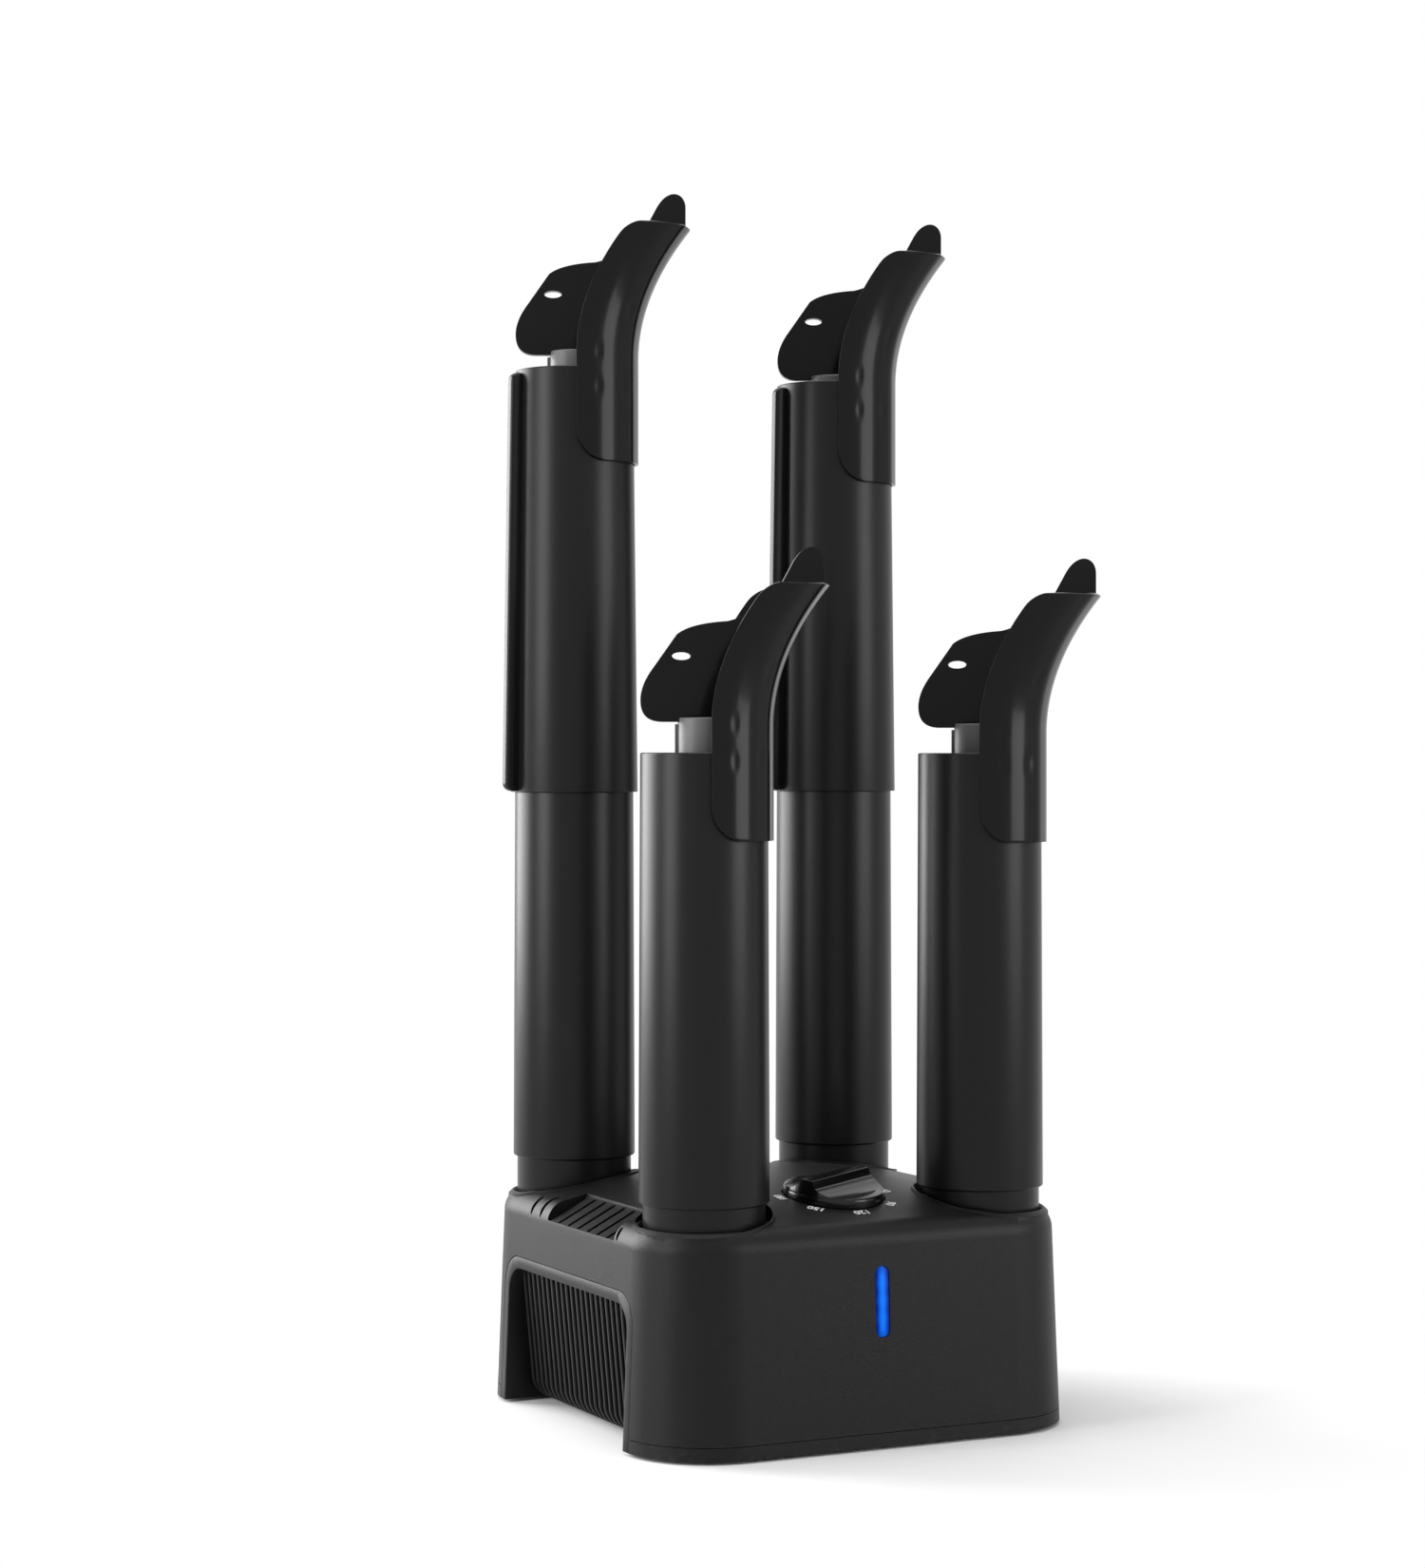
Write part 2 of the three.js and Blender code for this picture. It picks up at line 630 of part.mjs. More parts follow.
function baseTray() {
  const hollow = caseSkin(CASE_WALL + SEAT_GAP + TRAY_LIP_WALL, -SUNK);
  const rim = outerSkin.intersect(slab(-CUT_PAST, TRAY_HEIGHT)).subtract(hollow);
  const floor = outerSkin.intersect(slab(-CUT_PAST, TRAY_FLOOR));
  const lipTop = TRAY_HEIGHT + TRAY_LIP;
  const lipBand = slab(TRAY_HEIGHT - SUNK, lipTop);
  const lip = caseSkin(CASE_WALL + SEAT_GAP, -SUNK).subtract(hollow).intersect(lipBand);
  const postTop = TRAY_HEIGHT + TRAY_FLOOR;
  const clear = disc(BOSS_RADIUS + SLIP_GAP, postTop - SEAT_GAP, lipTop + CUT_PAST, SMALL_ROUND);
  const clearings = forCorners((sx, sy) => at(clear, sx * SCREW_X, sy * SCREW_Y));
  const seat = disc(BOSS_RADIUS + SCREW_SEAT_WALL, SUNK, postTop - SEAT_GAP, SMALL_ROUND);
  const seats = forCorners((sx, sy) => at(seat, sx * SCREW_X, sy * SCREW_Y).intersect(outerSkin));
  const body = joined([rim, floor, cut(lip, clearings), ...seats]);
  const screwHole = joined([
    disc(SCREW_HEAD_RADIUS + SLIP_GAP, -CUT_PAST, SCREW_RECESS, SMALL_ROUND),
    disc(SCREW_RADIUS + SEAT_GAP, SCREW_RECESS - SUNK, postTop + CUT_PAST, SMALL_ROUND),
  ]);
  const footRecess = disc(FOOT_RADIUS + SEAT_GAP, -CUT_PAST, FOOT_RECESS, MEDIUM_ROUND);
  return cut(body, [
    archCutter(-1, SEAT_GAP),
    archCutter(1, SEAT_GAP),
    ...forCorners((sx, sy) => at(screwHole, sx * SCREW_X, sy * SCREW_Y)),
    ...forCorners((sx, sy) => at(footRecess, sx * FOOT_X, sy * FOOT_Y)),
  ]);
}

// Side intake: an arch frame flush with the case wall and upright slats that lean in and turn under

function slatShape() {
  const topZ = ARCH_HEIGHT - ARCH_FRAME / 2;
  const topX = caseHalfAt(topZ) - SLAT_RECESS_TOP;
  const lowX = CASE_HALF - SLAT_RECESS_LOW;
  const footZ = SLAT_FOOT_RADIUS;
  const shape = new THREE.Shape();
  shape.moveTo(topX, topZ);
  shape.lineTo(lowX, footZ);
  shape.absarc(lowX - SLAT_FOOT_RADIUS, footZ, SLAT_FOOT_RADIUS, 0, -Math.PI / 2, true);
  shape.lineTo(SLAT_FOOT_X - SLAT_DEPTH, 0);
  shape.lineTo(SLAT_FOOT_X - SLAT_DEPTH, SLAT_DEPTH);
  shape.lineTo(SLAT_FOOT_X, SLAT_DEPTH);
  shape.lineTo(lowX - SLAT_DEPTH, footZ);
  shape.lineTo(topX - SLAT_DEPTH, topZ);
  return shape;
}

function sideGrille(side) {
  const inner = SLAT_FOOT_X - SLAT_DEPTH;
  const opening = ARCH_HALF_WIDTH - ARCH_FRAME;
  const outline = archShape(ARCH_HALF_WIDTH, ARCH_HEIGHT, ARCH_CORNER, 0);
  const gap = archShape(opening, ARCH_HEIGHT - ARCH_FRAME, ARCH_CORNER - ARCH_FRAME / 2, -CUT_PAST);
  const outer = CASE_HALF + CUT_PAST;
  const frame = extrudedAlongX(outline, inner, outer)
    .subtract(extrudedAlongX(gap, inner - CUT_PAST, outer + CUT_PAST))
    .intersect(outerSkin);
  const behind = slatBackCutter();
  const slats = [];
  const pitch = (2 * opening) / SLAT_COUNT;
  for (let i = 0; i < SLAT_COUNT; i += 1) {
    const slat = extrudedAlongY(slatShape(), SLAT_THICKNESS, 1);
    slats.push(at(slat, 0, -opening + (i + 0.5) * pitch));
  }
  const bar = box([inner, -opening - SUNK, 0], [inner + SLAT_BAR, opening + SUNK, SLAT_DEPTH]);
  const whole = joined([frame.subtract(behind), bar, ...slats]);
  return side < 0 ? whole.rotate([0, 0, 180]) : whole;
}

// What lies behind the slats, so that the arch frame is no deeper than they are
function slatBackCutter() {
  const topX = caseHalfAt(ARCH_HEIGHT) - SLAT_RECESS_TOP - SLAT_DEPTH;
  const lowX = CASE_HALF - SLAT_RECESS_LOW - SLAT_DEPTH;
  const shape = new THREE.Shape();
  shape.moveTo(0, ARCH_HEIGHT + CUT_PAST);
  shape.lineTo(0, SLAT_DEPTH);
  shape.lineTo(SLAT_FOOT_X, SLAT_DEPTH);
  shape.lineTo(lowX, SLAT_FOOT_RADIUS);
  shape.lineTo(topX, ARCH_HEIGHT + CUT_PAST);
  return extrudedAlongY(shape, 2 * CASE_WIDTH, 3);
}

// Light bar and the board behind it

function lightBar(grow, low, high) {
  const half = LIGHT_WIDTH / 2 + grow;
  const top = LIGHT_LOW + LIGHT_HEIGHT + grow;
  const shape = rectangle(-half, LIGHT_LOW - grow, half, top, half * LIGHT_ROUNDING);
  const solid = extrudedAlongY(shape, high - low, 2);
  return at(solid, 0, (low + high) / 2);
}

function lightFlangeFront() {
  return -(caseHalfAt(LIGHT_LOW + LIGHT_HEIGHT) - CASE_WALL - 2 * SEAT_GAP);
}

function lightPipe() {
  const front = lightFlangeFront();
  const bar = lightBar(0, -CASE_HALF - CUT_PAST, front + LIGHT_FLANGE).intersect(outerSkin);
  const flange = lightBar(LIGHT_FLANGE_PROUD, front, front + LIGHT_FLANGE);
  return bar.add(flange);
}

function boardFront() {
  return lightFlangeFront() + LIGHT_FLANGE + SEAT_GAP;
}

function lightBoard() {
  const half = BOARD_WIDTH / 2;
  const low = LIGHT_LOW - BOARD_MARGIN;
  const high = LIGHT_LOW + LIGHT_HEIGHT + BOARD_MARGIN;
  return box([-half, boardFront(), low], [half, boardFront() + BOARD_THICKNESS, high]);
}

// Upright ribs inside the front wall that hold the edges of the board
function boardRib(side) {
  const near = BOARD_WIDTH / 2 + SEAT_GAP;
  const far = near + BOARD_RIB;
  const back = boardFront() + BOARD_THICKNESS + BOARD_RIB;
  const low = LIGHT_LOW - BOARD_MARGIN;
  const high = LIGHT_LOW + LIGHT_HEIGHT + BOARD_MARGIN;
  const x = side < 0 ? [-far, -near] : [near, far];
  return box([x[0], -CASE_HALF, low], [x[1], back, high]).intersect(outerSkin);
}

// Timer: knob and shaft turn together, the body hangs under the crown

// Section of the grip bar: a flat crest on sides that sweep out into the skirt
function gripShape(low, top) {
  const foot = GRIP_FOOT / 2;
  const half = GRIP_WIDTH / 2;
  const crest = KNOB_HEIGHT - KNOB_ROUND;
  const shape = new THREE.Shape();
  shape.moveTo(-foot, top - GRIP_SINK);
  shape.quadraticCurveTo(-half - GRIP_FLARE, top, -half, crest);
  shape.quadraticCurveTo(-half, KNOB_HEIGHT, KNOB_ROUND - half, KNOB_HEIGHT);
  shape.lineTo(half - KNOB_ROUND, KNOB_HEIGHT);
  shape.quadraticCurveTo(half, KNOB_HEIGHT, half, crest);
  shape.quadraticCurveTo(half + GRIP_FLARE, top, foot, top - GRIP_SINK);
  shape.lineTo(foot, low);
  shape.lineTo(-foot, low);
  return shape;
}

function timerKnob() {
  const low = DIAL_PAD_PROUD + SEAT_GAP;
  const top = low + KNOB_SKIRT;
  const skirt = turned([
    [0, low], [KNOB_RADIUS - KNOB_CHAMFER, low], [KNOB_RADIUS, low + KNOB_CHAMFER],
    [KNOB_RADIUS, top - KNOB_ROUND], [KNOB_RADIUS - KNOB_ROUND * 0.3, top - KNOB_ROUND * 0.3],
    [KNOB_RADIUS - KNOB_ROUND, top], [0, top],
  ]);
  const grip = extrudedAlongY(gripShape(low + SUNK, top), 2 * KNOB_RADIUS, 5);
  const reach = KNOB_RADIUS - GRIP_MARGIN;
  const dome = turned([
    [0, 0], [reach, 0], [reach, top - GRIP_SINK], [reach - GRIP_END * 0.3, KNOB_HEIGHT - KNOB_ROUND],
    [reach - GRIP_END, KNOB_HEIGHT], [0, KNOB_HEIGHT],
  ]);
  const bore = disc(SHAFT_RADIUS + SEAT_GAP, 0, SHAFT_TOP, SMALL_ROUND);
  return cut(skirt.add(grip.intersect(dome)), [bore]);
}

function timerShaft() {
  return disc(SHAFT_RADIUS, TIMER_BOSS_LOW + SEAT_GAP, SHAFT_TOP - SEAT_GAP, SMALL_ROUND);
}

function timerBody() {
  const top = TIMER_BOSS_LOW - SEAT_GAP;
  const low = top - TIMER_HEIGHT;
  const x = TIMER_WIDTH / 2;
  const y = TIMER_DEPTH / 2;
  const outline = rectangle(-x, -y, x, y, TIMER_CORNER);
  const cover = disc(y - TIMER_CORNER, low - TIMER_COVER, low + SUNK, SMALL_ROUND);
  return raised(outline, low, top, 3).add(cover);
}

// Fan, heater and manifold on one upright axis

function fanFrame() {
  const shell = ring(FAN_RADIUS - FAN_WALL, FAN_RADIUS, FAN_LOW, FAN_TOP);
  const cup = disc(MOTOR_RADIUS + 2 * MOTOR_SEAT, FAN_LOW, FAN_LOW + FAN_PLATE, SMALL_ROUND);
  const arms = [-1, 1].map((side) => box(
    [-FAN_RADIUS + SUNK, -FAN_SPOKE / 2, FAN_LOW],
    [FAN_RADIUS - SUNK, FAN_SPOKE / 2, FAN_LOW + FAN_PLATE],
  ).rotate([0, 0, diagonal(1, side)]));
  const place = (FAN_RADIUS - FAN_LEG_RADIUS) * Math.SQRT1_2;
  const leg = disc(FAN_LEG_RADIUS, TRAY_FLOOR + SEAT_GAP, FAN_LOW + SUNK, SMALL_ROUND);
  const legs = forCorners((sx, sy) => at(leg, sx * place, sy * place));
  const bore = disc(FAN_RADIUS - FAN_WALL, FAN_LOW + FAN_PLATE + SUNK, FAN_TOP + CUT_PAST);
  return cut(joined([shell, cup, ...arms, ...legs]), [bore]);
}

function fanMotor() {
  const top = MOTOR_LOW + MOTOR_HEIGHT;
  const shaftTop = top + IMPELLER_HUB_WALL + SEAT_GAP;
  return disc(MOTOR_RADIUS, MOTOR_LOW, top, MEDIUM_ROUND)
    .add(disc(MOTOR_SHAFT_RADIUS, top - SUNK, shaftTop, SMALL_ROUND));
}

// Curved, pitched blade that runs out along X from inside the hub wall to the tip
function fanBlade(inner, outer) {
  const half = BLADE_CHORD / 2;
  const shape = new THREE.Shape();
  shape.moveTo(-half, 0);
  shape.quadraticCurveTo(0, BLADE_CAMBER, half, 0);
  shape.lineTo(half, BLADE_THICKNESS);
  shape.quadraticCurveTo(0, BLADE_CAMBER + BLADE_THICKNESS, -half, BLADE_THICKNESS);
  const options = { depth: outer - inner, bevelEnabled: false, curveSegments: 2 };
  const geometry = new THREE.ExtrudeGeometry(shape, options);
  geometry.rotateZ(radians(BLADE_PITCH));
  geometry.rotateX(Math.PI / 2);
  geometry.rotateZ(Math.PI / 2);
  return outward(moved(geometry, inner, 0, 0));
}

function fanImpeller() {
  const low = MOTOR_LOW + 2 * SEAT_GAP;
  const roof = MOTOR_LOW + MOTOR_HEIGHT + SEAT_GAP;
  const hubInner = MOTOR_RADIUS + SLIP_GAP;
  const hubOuter = hubInner + IMPELLER_HUB_WALL;
  const top = roof + IMPELLER_HUB_WALL;
  const hub = turned([
    [MOTOR_SHAFT_RADIUS + SEAT_GAP, roof], [hubInner, roof], [hubInner, low], [hubOuter, low],
    [hubOuter, top - IMPELLER_HUB_CHAMFER], [hubOuter - IMPELLER_HUB_CHAMFER, top],
    [MOTOR_SHAFT_RADIUS + SEAT_GAP, top],
  ]);
  const tip = FAN_RADIUS - FAN_WALL - BLADE_TIP_GAP;
  const middle = low + IMPELLER_HEIGHT / 2;
  const blades = [];
  for (let i = 0; i < BLADE_COUNT; i += 1) {
    const blade = fanBlade(hubInner, tip + CUT_PAST).translate([0, 0, middle]);
    blades.push(blade.rotate([0, 0, (i * 360) / BLADE_COUNT]));
  }
  const sweep = ring(hubInner + IMPELLER_HUB_WALL / 2, tip, low, low + IMPELLER_HEIGHT);
  return hub.add(joined(blades).intersect(sweep));
}

function heaterFrame() {
  const plate = disc(FAN_RADIUS, HEATER_LOW, HEATER_TOP);
  const x = HEATER_WIDTH / 2 + SEAT_GAP;
  const y = HEATER_DEPTH / 2 + SEAT_GAP;
  return cut(plate, [
    box([-x, -y, HEATER_LOW + HEATER_LEDGE], [x, y, HEATER_TOP + CUT_PAST]),
    box(
      [-x + HEATER_LEDGE, -y + HEATER_LEDGE, HEATER_LOW - CUT_PAST],
      [x - HEATER_LEDGE, y - HEATER_LEDGE, HEATER_TOP],
    ),
  ]);
}

function heaterElement() {
  const low = HEATER_LOW + HEATER_LEDGE + SEAT_GAP;
  const high = HEATER_TOP - HEATER_SINK;
  const x = HEATER_WIDTH / 2;
  const y = HEATER_DEPTH / 2;
  const rail = box([-x, y - HEATER_RAIL, low], [x, y, high]);
  const rails = [rail, rail.mirror([0, 1, 0])];
  const pitch = (HEATER_WIDTH - HEATER_FIN) / (HEATER_FIN_COUNT - 1);
  const fins = [];
  for (let i = 0; i < HEATER_FIN_COUNT; i += 1) {
    const start = i * pitch - x;
    fins.push(box([start, SUNK - y, low], [start + HEATER_FIN, y - SUNK, high]));
  }
  return joined([...rails, ...fins]);
}

function thermalCutout() {
  const low = HEATER_TOP + SEAT_GAP;
  const top = low + CUTOUT_HEIGHT;
  return at(turned([
    [0, low], [CUTOUT_RADIUS, low], [CUTOUT_RADIUS, top - CUTOUT_ROUND],
    [CUTOUT_RADIUS - CUTOUT_ROUND, top], [0, top],
  ], SMALL_ROUND), FAN_RADIUS - CUTOUT_INSET, 0);
}

function manifoldSkin(inset) {
  const drumLow = inset ? MANIFOLD_LOW - CUT_PAST : MANIFOLD_LOW;
  const drum = disc(FAN_RADIUS - inset, drumLow, MANIFOLD_TOP - inset);
  const cupTop = SEAT_BOTTOM - SEAT_GAP;
  const armTop = cupTop - ARM_DROP;
  const reach = TUBE_HALF * Math.SQRT2;
  const half = ARM_WIDTH / 2 - inset;
  const arms = forCorners((sx, sy) => {
    const arm = box([0, -half, armTop - ARM_HEIGHT + inset], [reach, half, armTop - inset]);
    const past = inset ? CUT_PAST : 0;
    const cup = disc(CUP_RADIUS - inset, cupTop - CUP_DEPTH + inset, cupTop + past, MEDIUM_ROUND);
    return arm.rotate([0, 0, diagonal(sx, sy)]).add(at(cup, sx * TUBE_HALF, sy * TUBE_HALF));
  });
  return joined([drum, ...arms]);
}

function airManifold() {
  return manifoldSkin(0).subtract(manifoldSkin(MANIFOLD_WALL));
}

// Gland in the rear wall, feet and screws

function glandHole() {
  const reach = WALL_DRAFT + CASE_WALL + CUT_PAST;
  const hole = disc(GLAND_RADIUS + SEAT_GAP, -reach, reach, MEDIUM_ROUND).rotate([-90, 0, 0]);
  return hole.translate([0, CASE_HALF, GLAND_HEIGHT]);
}

function cordGland() {
  const outer = caseHalfAt(GLAND_HEIGHT - GLAND_FLANGE_RADIUS) + SEAT_GAP;
  const inner = caseHalfAt(GLAND_HEIGHT + GLAND_FLANGE_RADIUS) - CASE_WALL - SEAT_GAP;
  const lip = GLAND_RADIUS + GLAND_LIP;
  const profile = [
    [GLAND_BORE, inner - GLAND_FLANGE], [lip, inner - GLAND_FLANGE], [lip, inner - GLAND_SLOPE],
    [GLAND_RADIUS, inner], [GLAND_RADIUS, outer], [GLAND_FLANGE_RADIUS, outer],
    [GLAND_FLANGE_RADIUS - GLAND_CHAMFER, outer + GLAND_FLANGE], [GLAND_BORE, outer + GLAND_FLANGE],
  ];
  return turned(profile, MEDIUM_ROUND).rotate([-90, 0, 0]).translate([0, 0, GLAND_HEIGHT]);
}

function foot(sx, sy) {
  return at(turned([
    [0, -FOOT_PROUD], [FOOT_RADIUS - FOOT_CHAMFER, -FOOT_PROUD], [FOOT_RADIUS, FOOT_CHAMFER - FOOT_PROUD],
    [FOOT_RADIUS, FOOT_RECESS - SEAT_GAP], [0, FOOT_RECESS - SEAT_GAP],
  ], MEDIUM_ROUND), sx * FOOT_X, sy * FOOT_Y);
}

function caseScrew(sx, sy) {
  const seat = SCREW_RECESS - SEAT_GAP;
  const low = seat - SCREW_HEAD_HEIGHT;
  return at(turned([
    [0, low], [SCREW_HEAD_RADIUS - SCREW_CHAMFER, low], [SCREW_HEAD_RADIUS, low + SCREW_CHAMFER],
    [SCREW_HEAD_RADIUS, seat], [SCREW_RADIUS, seat], [SCREW_RADIUS, seat + SCREW_LENGTH - SCREW_TIP],
    [0, seat + SCREW_LENGTH],
  ], SMALL_ROUND), sx * SCREW_X, sy * SCREW_Y);
}

// Tubes, built about their own axis at the height where they stand

function insertLedgeTop(top) {
  return top - INSERT_SINK - INSERT_HEIGHT - SEAT_GAP;
}

function airTube() {
  const spigotInner = SPIGOT_RADIUS - TUBE_WALL;
  const topInner = TUBE_TOP_RADIUS - TUBE_WALL;
  const ledge = insertLedgeTop(TUBE_TOP);
  return turned([
    [spigotInner, SPIGOT_BOTTOM], [SPIGOT_RADIUS, SPIGOT_BOTTOM], [SPIGOT_RADIUS, TUBE_BOTTOM],
    [TUBE_RADIUS, TUBE_BOTTOM], [TUBE_TOP_RADIUS, TUBE_TOP - TUBE_CHAMFER],
    [TUBE_TOP_RADIUS - TUBE_CHAMFER, TUBE_TOP], [topInner, TUBE_TOP], [topInner, ledge],
    [topInner - LEDGE_WIDTH, ledge],
    [topInner, ledge - LEDGE_HEIGHT - LEDGE_WIDTH], [spigotInner, TUBE_BOTTOM + TUBE_STEP],
  ]);
}

// Rib down the heel side of an extension, rounded at both outer corners
function extensionFin() {
  const root = TUBE_TOP_RADIUS - TUBE_WALL / 2;
  const low = EXTENSION_BOTTOM + FIN_END_BOTTOM;
  const high = EXTENSION_TOP - FIN_END_TOP;
  const outLow = EXTENSION_BOTTOM_RADIUS + FIN_PROUD_BOTTOM;
  const outHigh = TUBE_TOP_RADIUS + FIN_PROUD_TOP;
  const shape = new THREE.Shape();
  shape.moveTo(-root, low);
  shape.lineTo(-root, high);
  shape.lineTo(-outHigh + FIN_CORNER, high);
  shape.quadraticCurveTo(-outHigh, high, -outHigh, high - FIN_CORNER);
  shape.lineTo(-outLow, low + FIN_CORNER);
  shape.quadraticCurveTo(-outLow, low, -outLow + FIN_CORNER, low);
  return extrudedAlongY(shape, FIN_WIDTH, 5);
}

function extensionTube() {
  const topInner = TUBE_TOP_RADIUS - TUBE_WALL;
  const stop = TUBE_TOP + SEAT_GAP;
  const ledge = insertLedgeTop(EXTENSION_TOP);
  const skin = turned([
    [0, EXTENSION_BOTTOM], [EXTENSION_BOTTOM_RADIUS, EXTENSION_BOTTOM],
    [TUBE_TOP_RADIUS, EXTENSION_TOP - TUBE_CHAMFER], [TUBE_TOP_RADIUS - TUBE_CHAMFER, EXTENSION_TOP],
    [0, EXTENSION_TOP],
  ]);
  const below = EXTENSION_BOTTOM - CUT_PAST;
  const above = EXTENSION_TOP + CUT_PAST;
  const bore = turned([
    [0, below], [EXTENSION_BORE, below], [EXTENSION_BORE, stop], [topInner, stop],
    [topInner, ledge - LEDGE_HEIGHT - LEDGE_WIDTH], [topInner - LEDGE_WIDTH, ledge],
    [topInner, ledge], [topInner, above], [0, above],
  ]);
  return skin.add(extensionFin()).subtract(bore);
}

// Turning insert: a ring and hub on spokes, with a keyway for the stem of the head

function swivelInsert(top) {
  const high = top - INSERT_SINK;
  const low = high - INSERT_HEIGHT;
  const outer = TUBE_TOP_RADIUS - TUBE_WALL - SLIP_GAP;
  const hubInner = STEM_RADIUS + SEAT_GAP;
  const hubOuter = hubInner + INSERT_HUB_WALL;
  const hub = disc(hubOuter, low, high, MEDIUM_ROUND);
  const rim = ring(outer - INSERT_RING_WALL, outer, low, high);
  const spokes = [];
  for (let i = 0; i < SPOKE_COUNT; i += 1) {
    const spoke = box([0, -SPOKE_WIDTH / 2, low], [outer - SUNK, SPOKE_WIDTH / 2, high]);
    spokes.push(spoke.rotate([0, 0, (i * 360) / SPOKE_COUNT]));
  }
  const keyHalf = STEM_KEY_WIDTH / 2 + SEAT_GAP;
  const keyReach = STEM_RADIUS + STEM_KEY_PROUD + SEAT_GAP;
  return cut(joined([hub, rim, ...spokes]), [
    disc(hubInner, low - CUT_PAST, high + CUT_PAST, MEDIUM_ROUND),
    box([-keyReach, -keyHalf, low - CUT_PAST], [0, keyHalf, high + CUT_PAST]),
  ]);
}

// Boot head, built with its heel plate's lower edge at height 0 and the toe towards +X

function billCentre(h) {
  return h > BILL_START ? BILL_CURVE * (h - BILL_START) ** 2 : 0;
}

// A curved sheet of even thickness about the toe direction. Angles run from -wrap to wrap, and
// heightsAt lists the heights of its rows at an angle, from the lower edge to the upper.
function curvedSheet(wrap, radiusAt, inner, heightsAt, columns) {
  const positions = [];
  const rows = heightsAt(0).length - 1;
  const index = (layer, row, column) => (layer * (columns + 1) + column) * (rows + 1) + row;
  for (const layer of [0, 1]) {
    for (let column = 0; column <= columns; column += 1) {
      const angle = radians(-wrap + (2 * wrap * column) / columns);
      const r = layer === 0 ? radiusAt(angle) : inner;
      for (const h of heightsAt(angle)) {
        positions.push(billCentre(h) + r * Math.cos(angle), r * Math.sin(angle), h);
      }
    }
  }
  const triangles = [];
  const quad = (a, b, c, d) => triangles.push(a, b, c, a, c, d);
  for (let row = 0; row < rows; row += 1) {
    for (let c = 0; c < columns; c += 1) {
      quad(index(0, row, c), index(0, row, c + 1), index(0, row + 1, c + 1), index(0, row + 1, c));
      quad(index(1, row, c), index(1, row + 1, c), index(1, row + 1, c + 1), index(1, row, c + 1));
    }
    quad(index(0, row, 0), index(0, row + 1, 0), index(1, row + 1, 0), index(1, row, 0));
    quad(index(0, row, columns), index(1, row, columns),
      index(1, row + 1, columns), index(0, row + 1, columns));
  }
  for (let c = 0; c < columns; c += 1) {
    quad(index(0, 0, c), index(1, 0, c), index(1, 0, c + 1), index(0, 0, c + 1));
    quad(index(0, rows, c), index(0, rows, c + 1), index(1, rows, c + 1), index(1, rows, c));
  }
  const geometry = new THREE.BufferGeometry();
  geometry.setAttribute('position', new THREE.Float32BufferAttribute(positions, 3));
  geometry.setIndex(triangles);
  return outward(geometry);
}

// How far a rounded corner draws the edge back at a distance from the sheet's side edge
function cornerDraw(distance, radius) {
  return distance < radius ? radius - Math.sqrt(radius ** 2 - (radius - distance) ** 2) : 0;
}

// Shared row heights, so that shell and core keep the same gap where they bend forward
function billRow(count) {
  return BILL_START + count * BILL_STEP;
}

// Half-round shell with a low ridge on each side of the toe line
function headShell() {
  const wrap = radians(SHELL_WRAP);
  const ridge = (SHELL_RIDGE_COLUMN * 2 * wrap) / SHELL_COLUMNS;
  const draw = (angle, radius) => cornerDraw((wrap - Math.abs(angle)) * SHELL_RADIUS, radius);
  const swell = (angle) => Math.exp(-(((Math.abs(angle) - ridge) / SHELL_RIDGE_SPREAD) ** 2));
  const radiusAt = (angle) => SHELL_RADIUS + SHELL_RIDGE * swell(angle);
  const heightsAt = (angle) => {
    const rows = [-SHELL_SKIRT + draw(angle, SHELL_FOOT_CORNER)];
    for (let row = 0; row < BILL_ROWS; row += 1) rows.push(billRow(row));
    rows.push(billRow(BILL_ROWS) - draw(angle, SHELL_TOP_CORNER));
    return rows;
  };
  return curvedSheet(SHELL_WRAP, radiusAt, SHELL_INNER, heightsAt, SHELL_COLUMNS);
}

// Core plate: rounded heel, flat lower edge, low back, and a leaf that stands out above the shell.
// Its toe edge follows the inside of the shell.
function plateShape() {
  const toeEdge = (h) => billCentre(h) + SHELL_INNER - PLATE_EDGE_GAP;
  const leafToe = toeEdge(billRow(BILL_ROWS));
  const leafHeel = leafToe - LEAF_WIDTH;
  const shape = new THREE.Shape();
  shape.moveTo(HEEL_CORNER - HEEL_REACH, 0);
  shape.lineTo(toeEdge(0), 0);
  for (let row = 1; row <= BILL_ROWS; row += 1) shape.lineTo(toeEdge(billRow(row)), billRow(row));
  shape.lineTo(leafToe, LEAF_HEIGHT - LEAF_ROUND);
  shape.bezierCurveTo(leafToe, LEAF_HEIGHT, leafHeel + LEAF_ROUND, LEAF_HEIGHT + LEAF_BULGE,
    leafHeel + LEAF_LEAN, LEAF_HEIGHT - LEAF_TIP_DROP);
  shape.lineTo(leafHeel - LEAF_ROOT_FLARE, LEAF_HEIGHT - LEAF_ROOT_DROP);
  shape.quadraticCurveTo(leafHeel - NECK_BEND, BACK_HEIGHT + NECK_RISE,
    SLOT_OFFSET, BACK_HEIGHT + BACK_RISE);
  shape.quadraticCurveTo(-BACK_BEND, BACK_HEIGHT, -SLOT_OFFSET - BACK_MARGIN, BACK_HEIGHT - BACK_DROP);
  shape.lineTo(KNEE_SETBACK - HEEL_REACH, KNEE_HEIGHT);
  shape.quadraticCurveTo(-HEEL_REACH, KNEE_HEIGHT - KNEE_BEND, -HEEL_REACH, HEEL_CORNER);
  shape.quadraticCurveTo(-HEEL_REACH, 0, HEEL_CORNER - HEEL_REACH, 0);
  return shape;
}

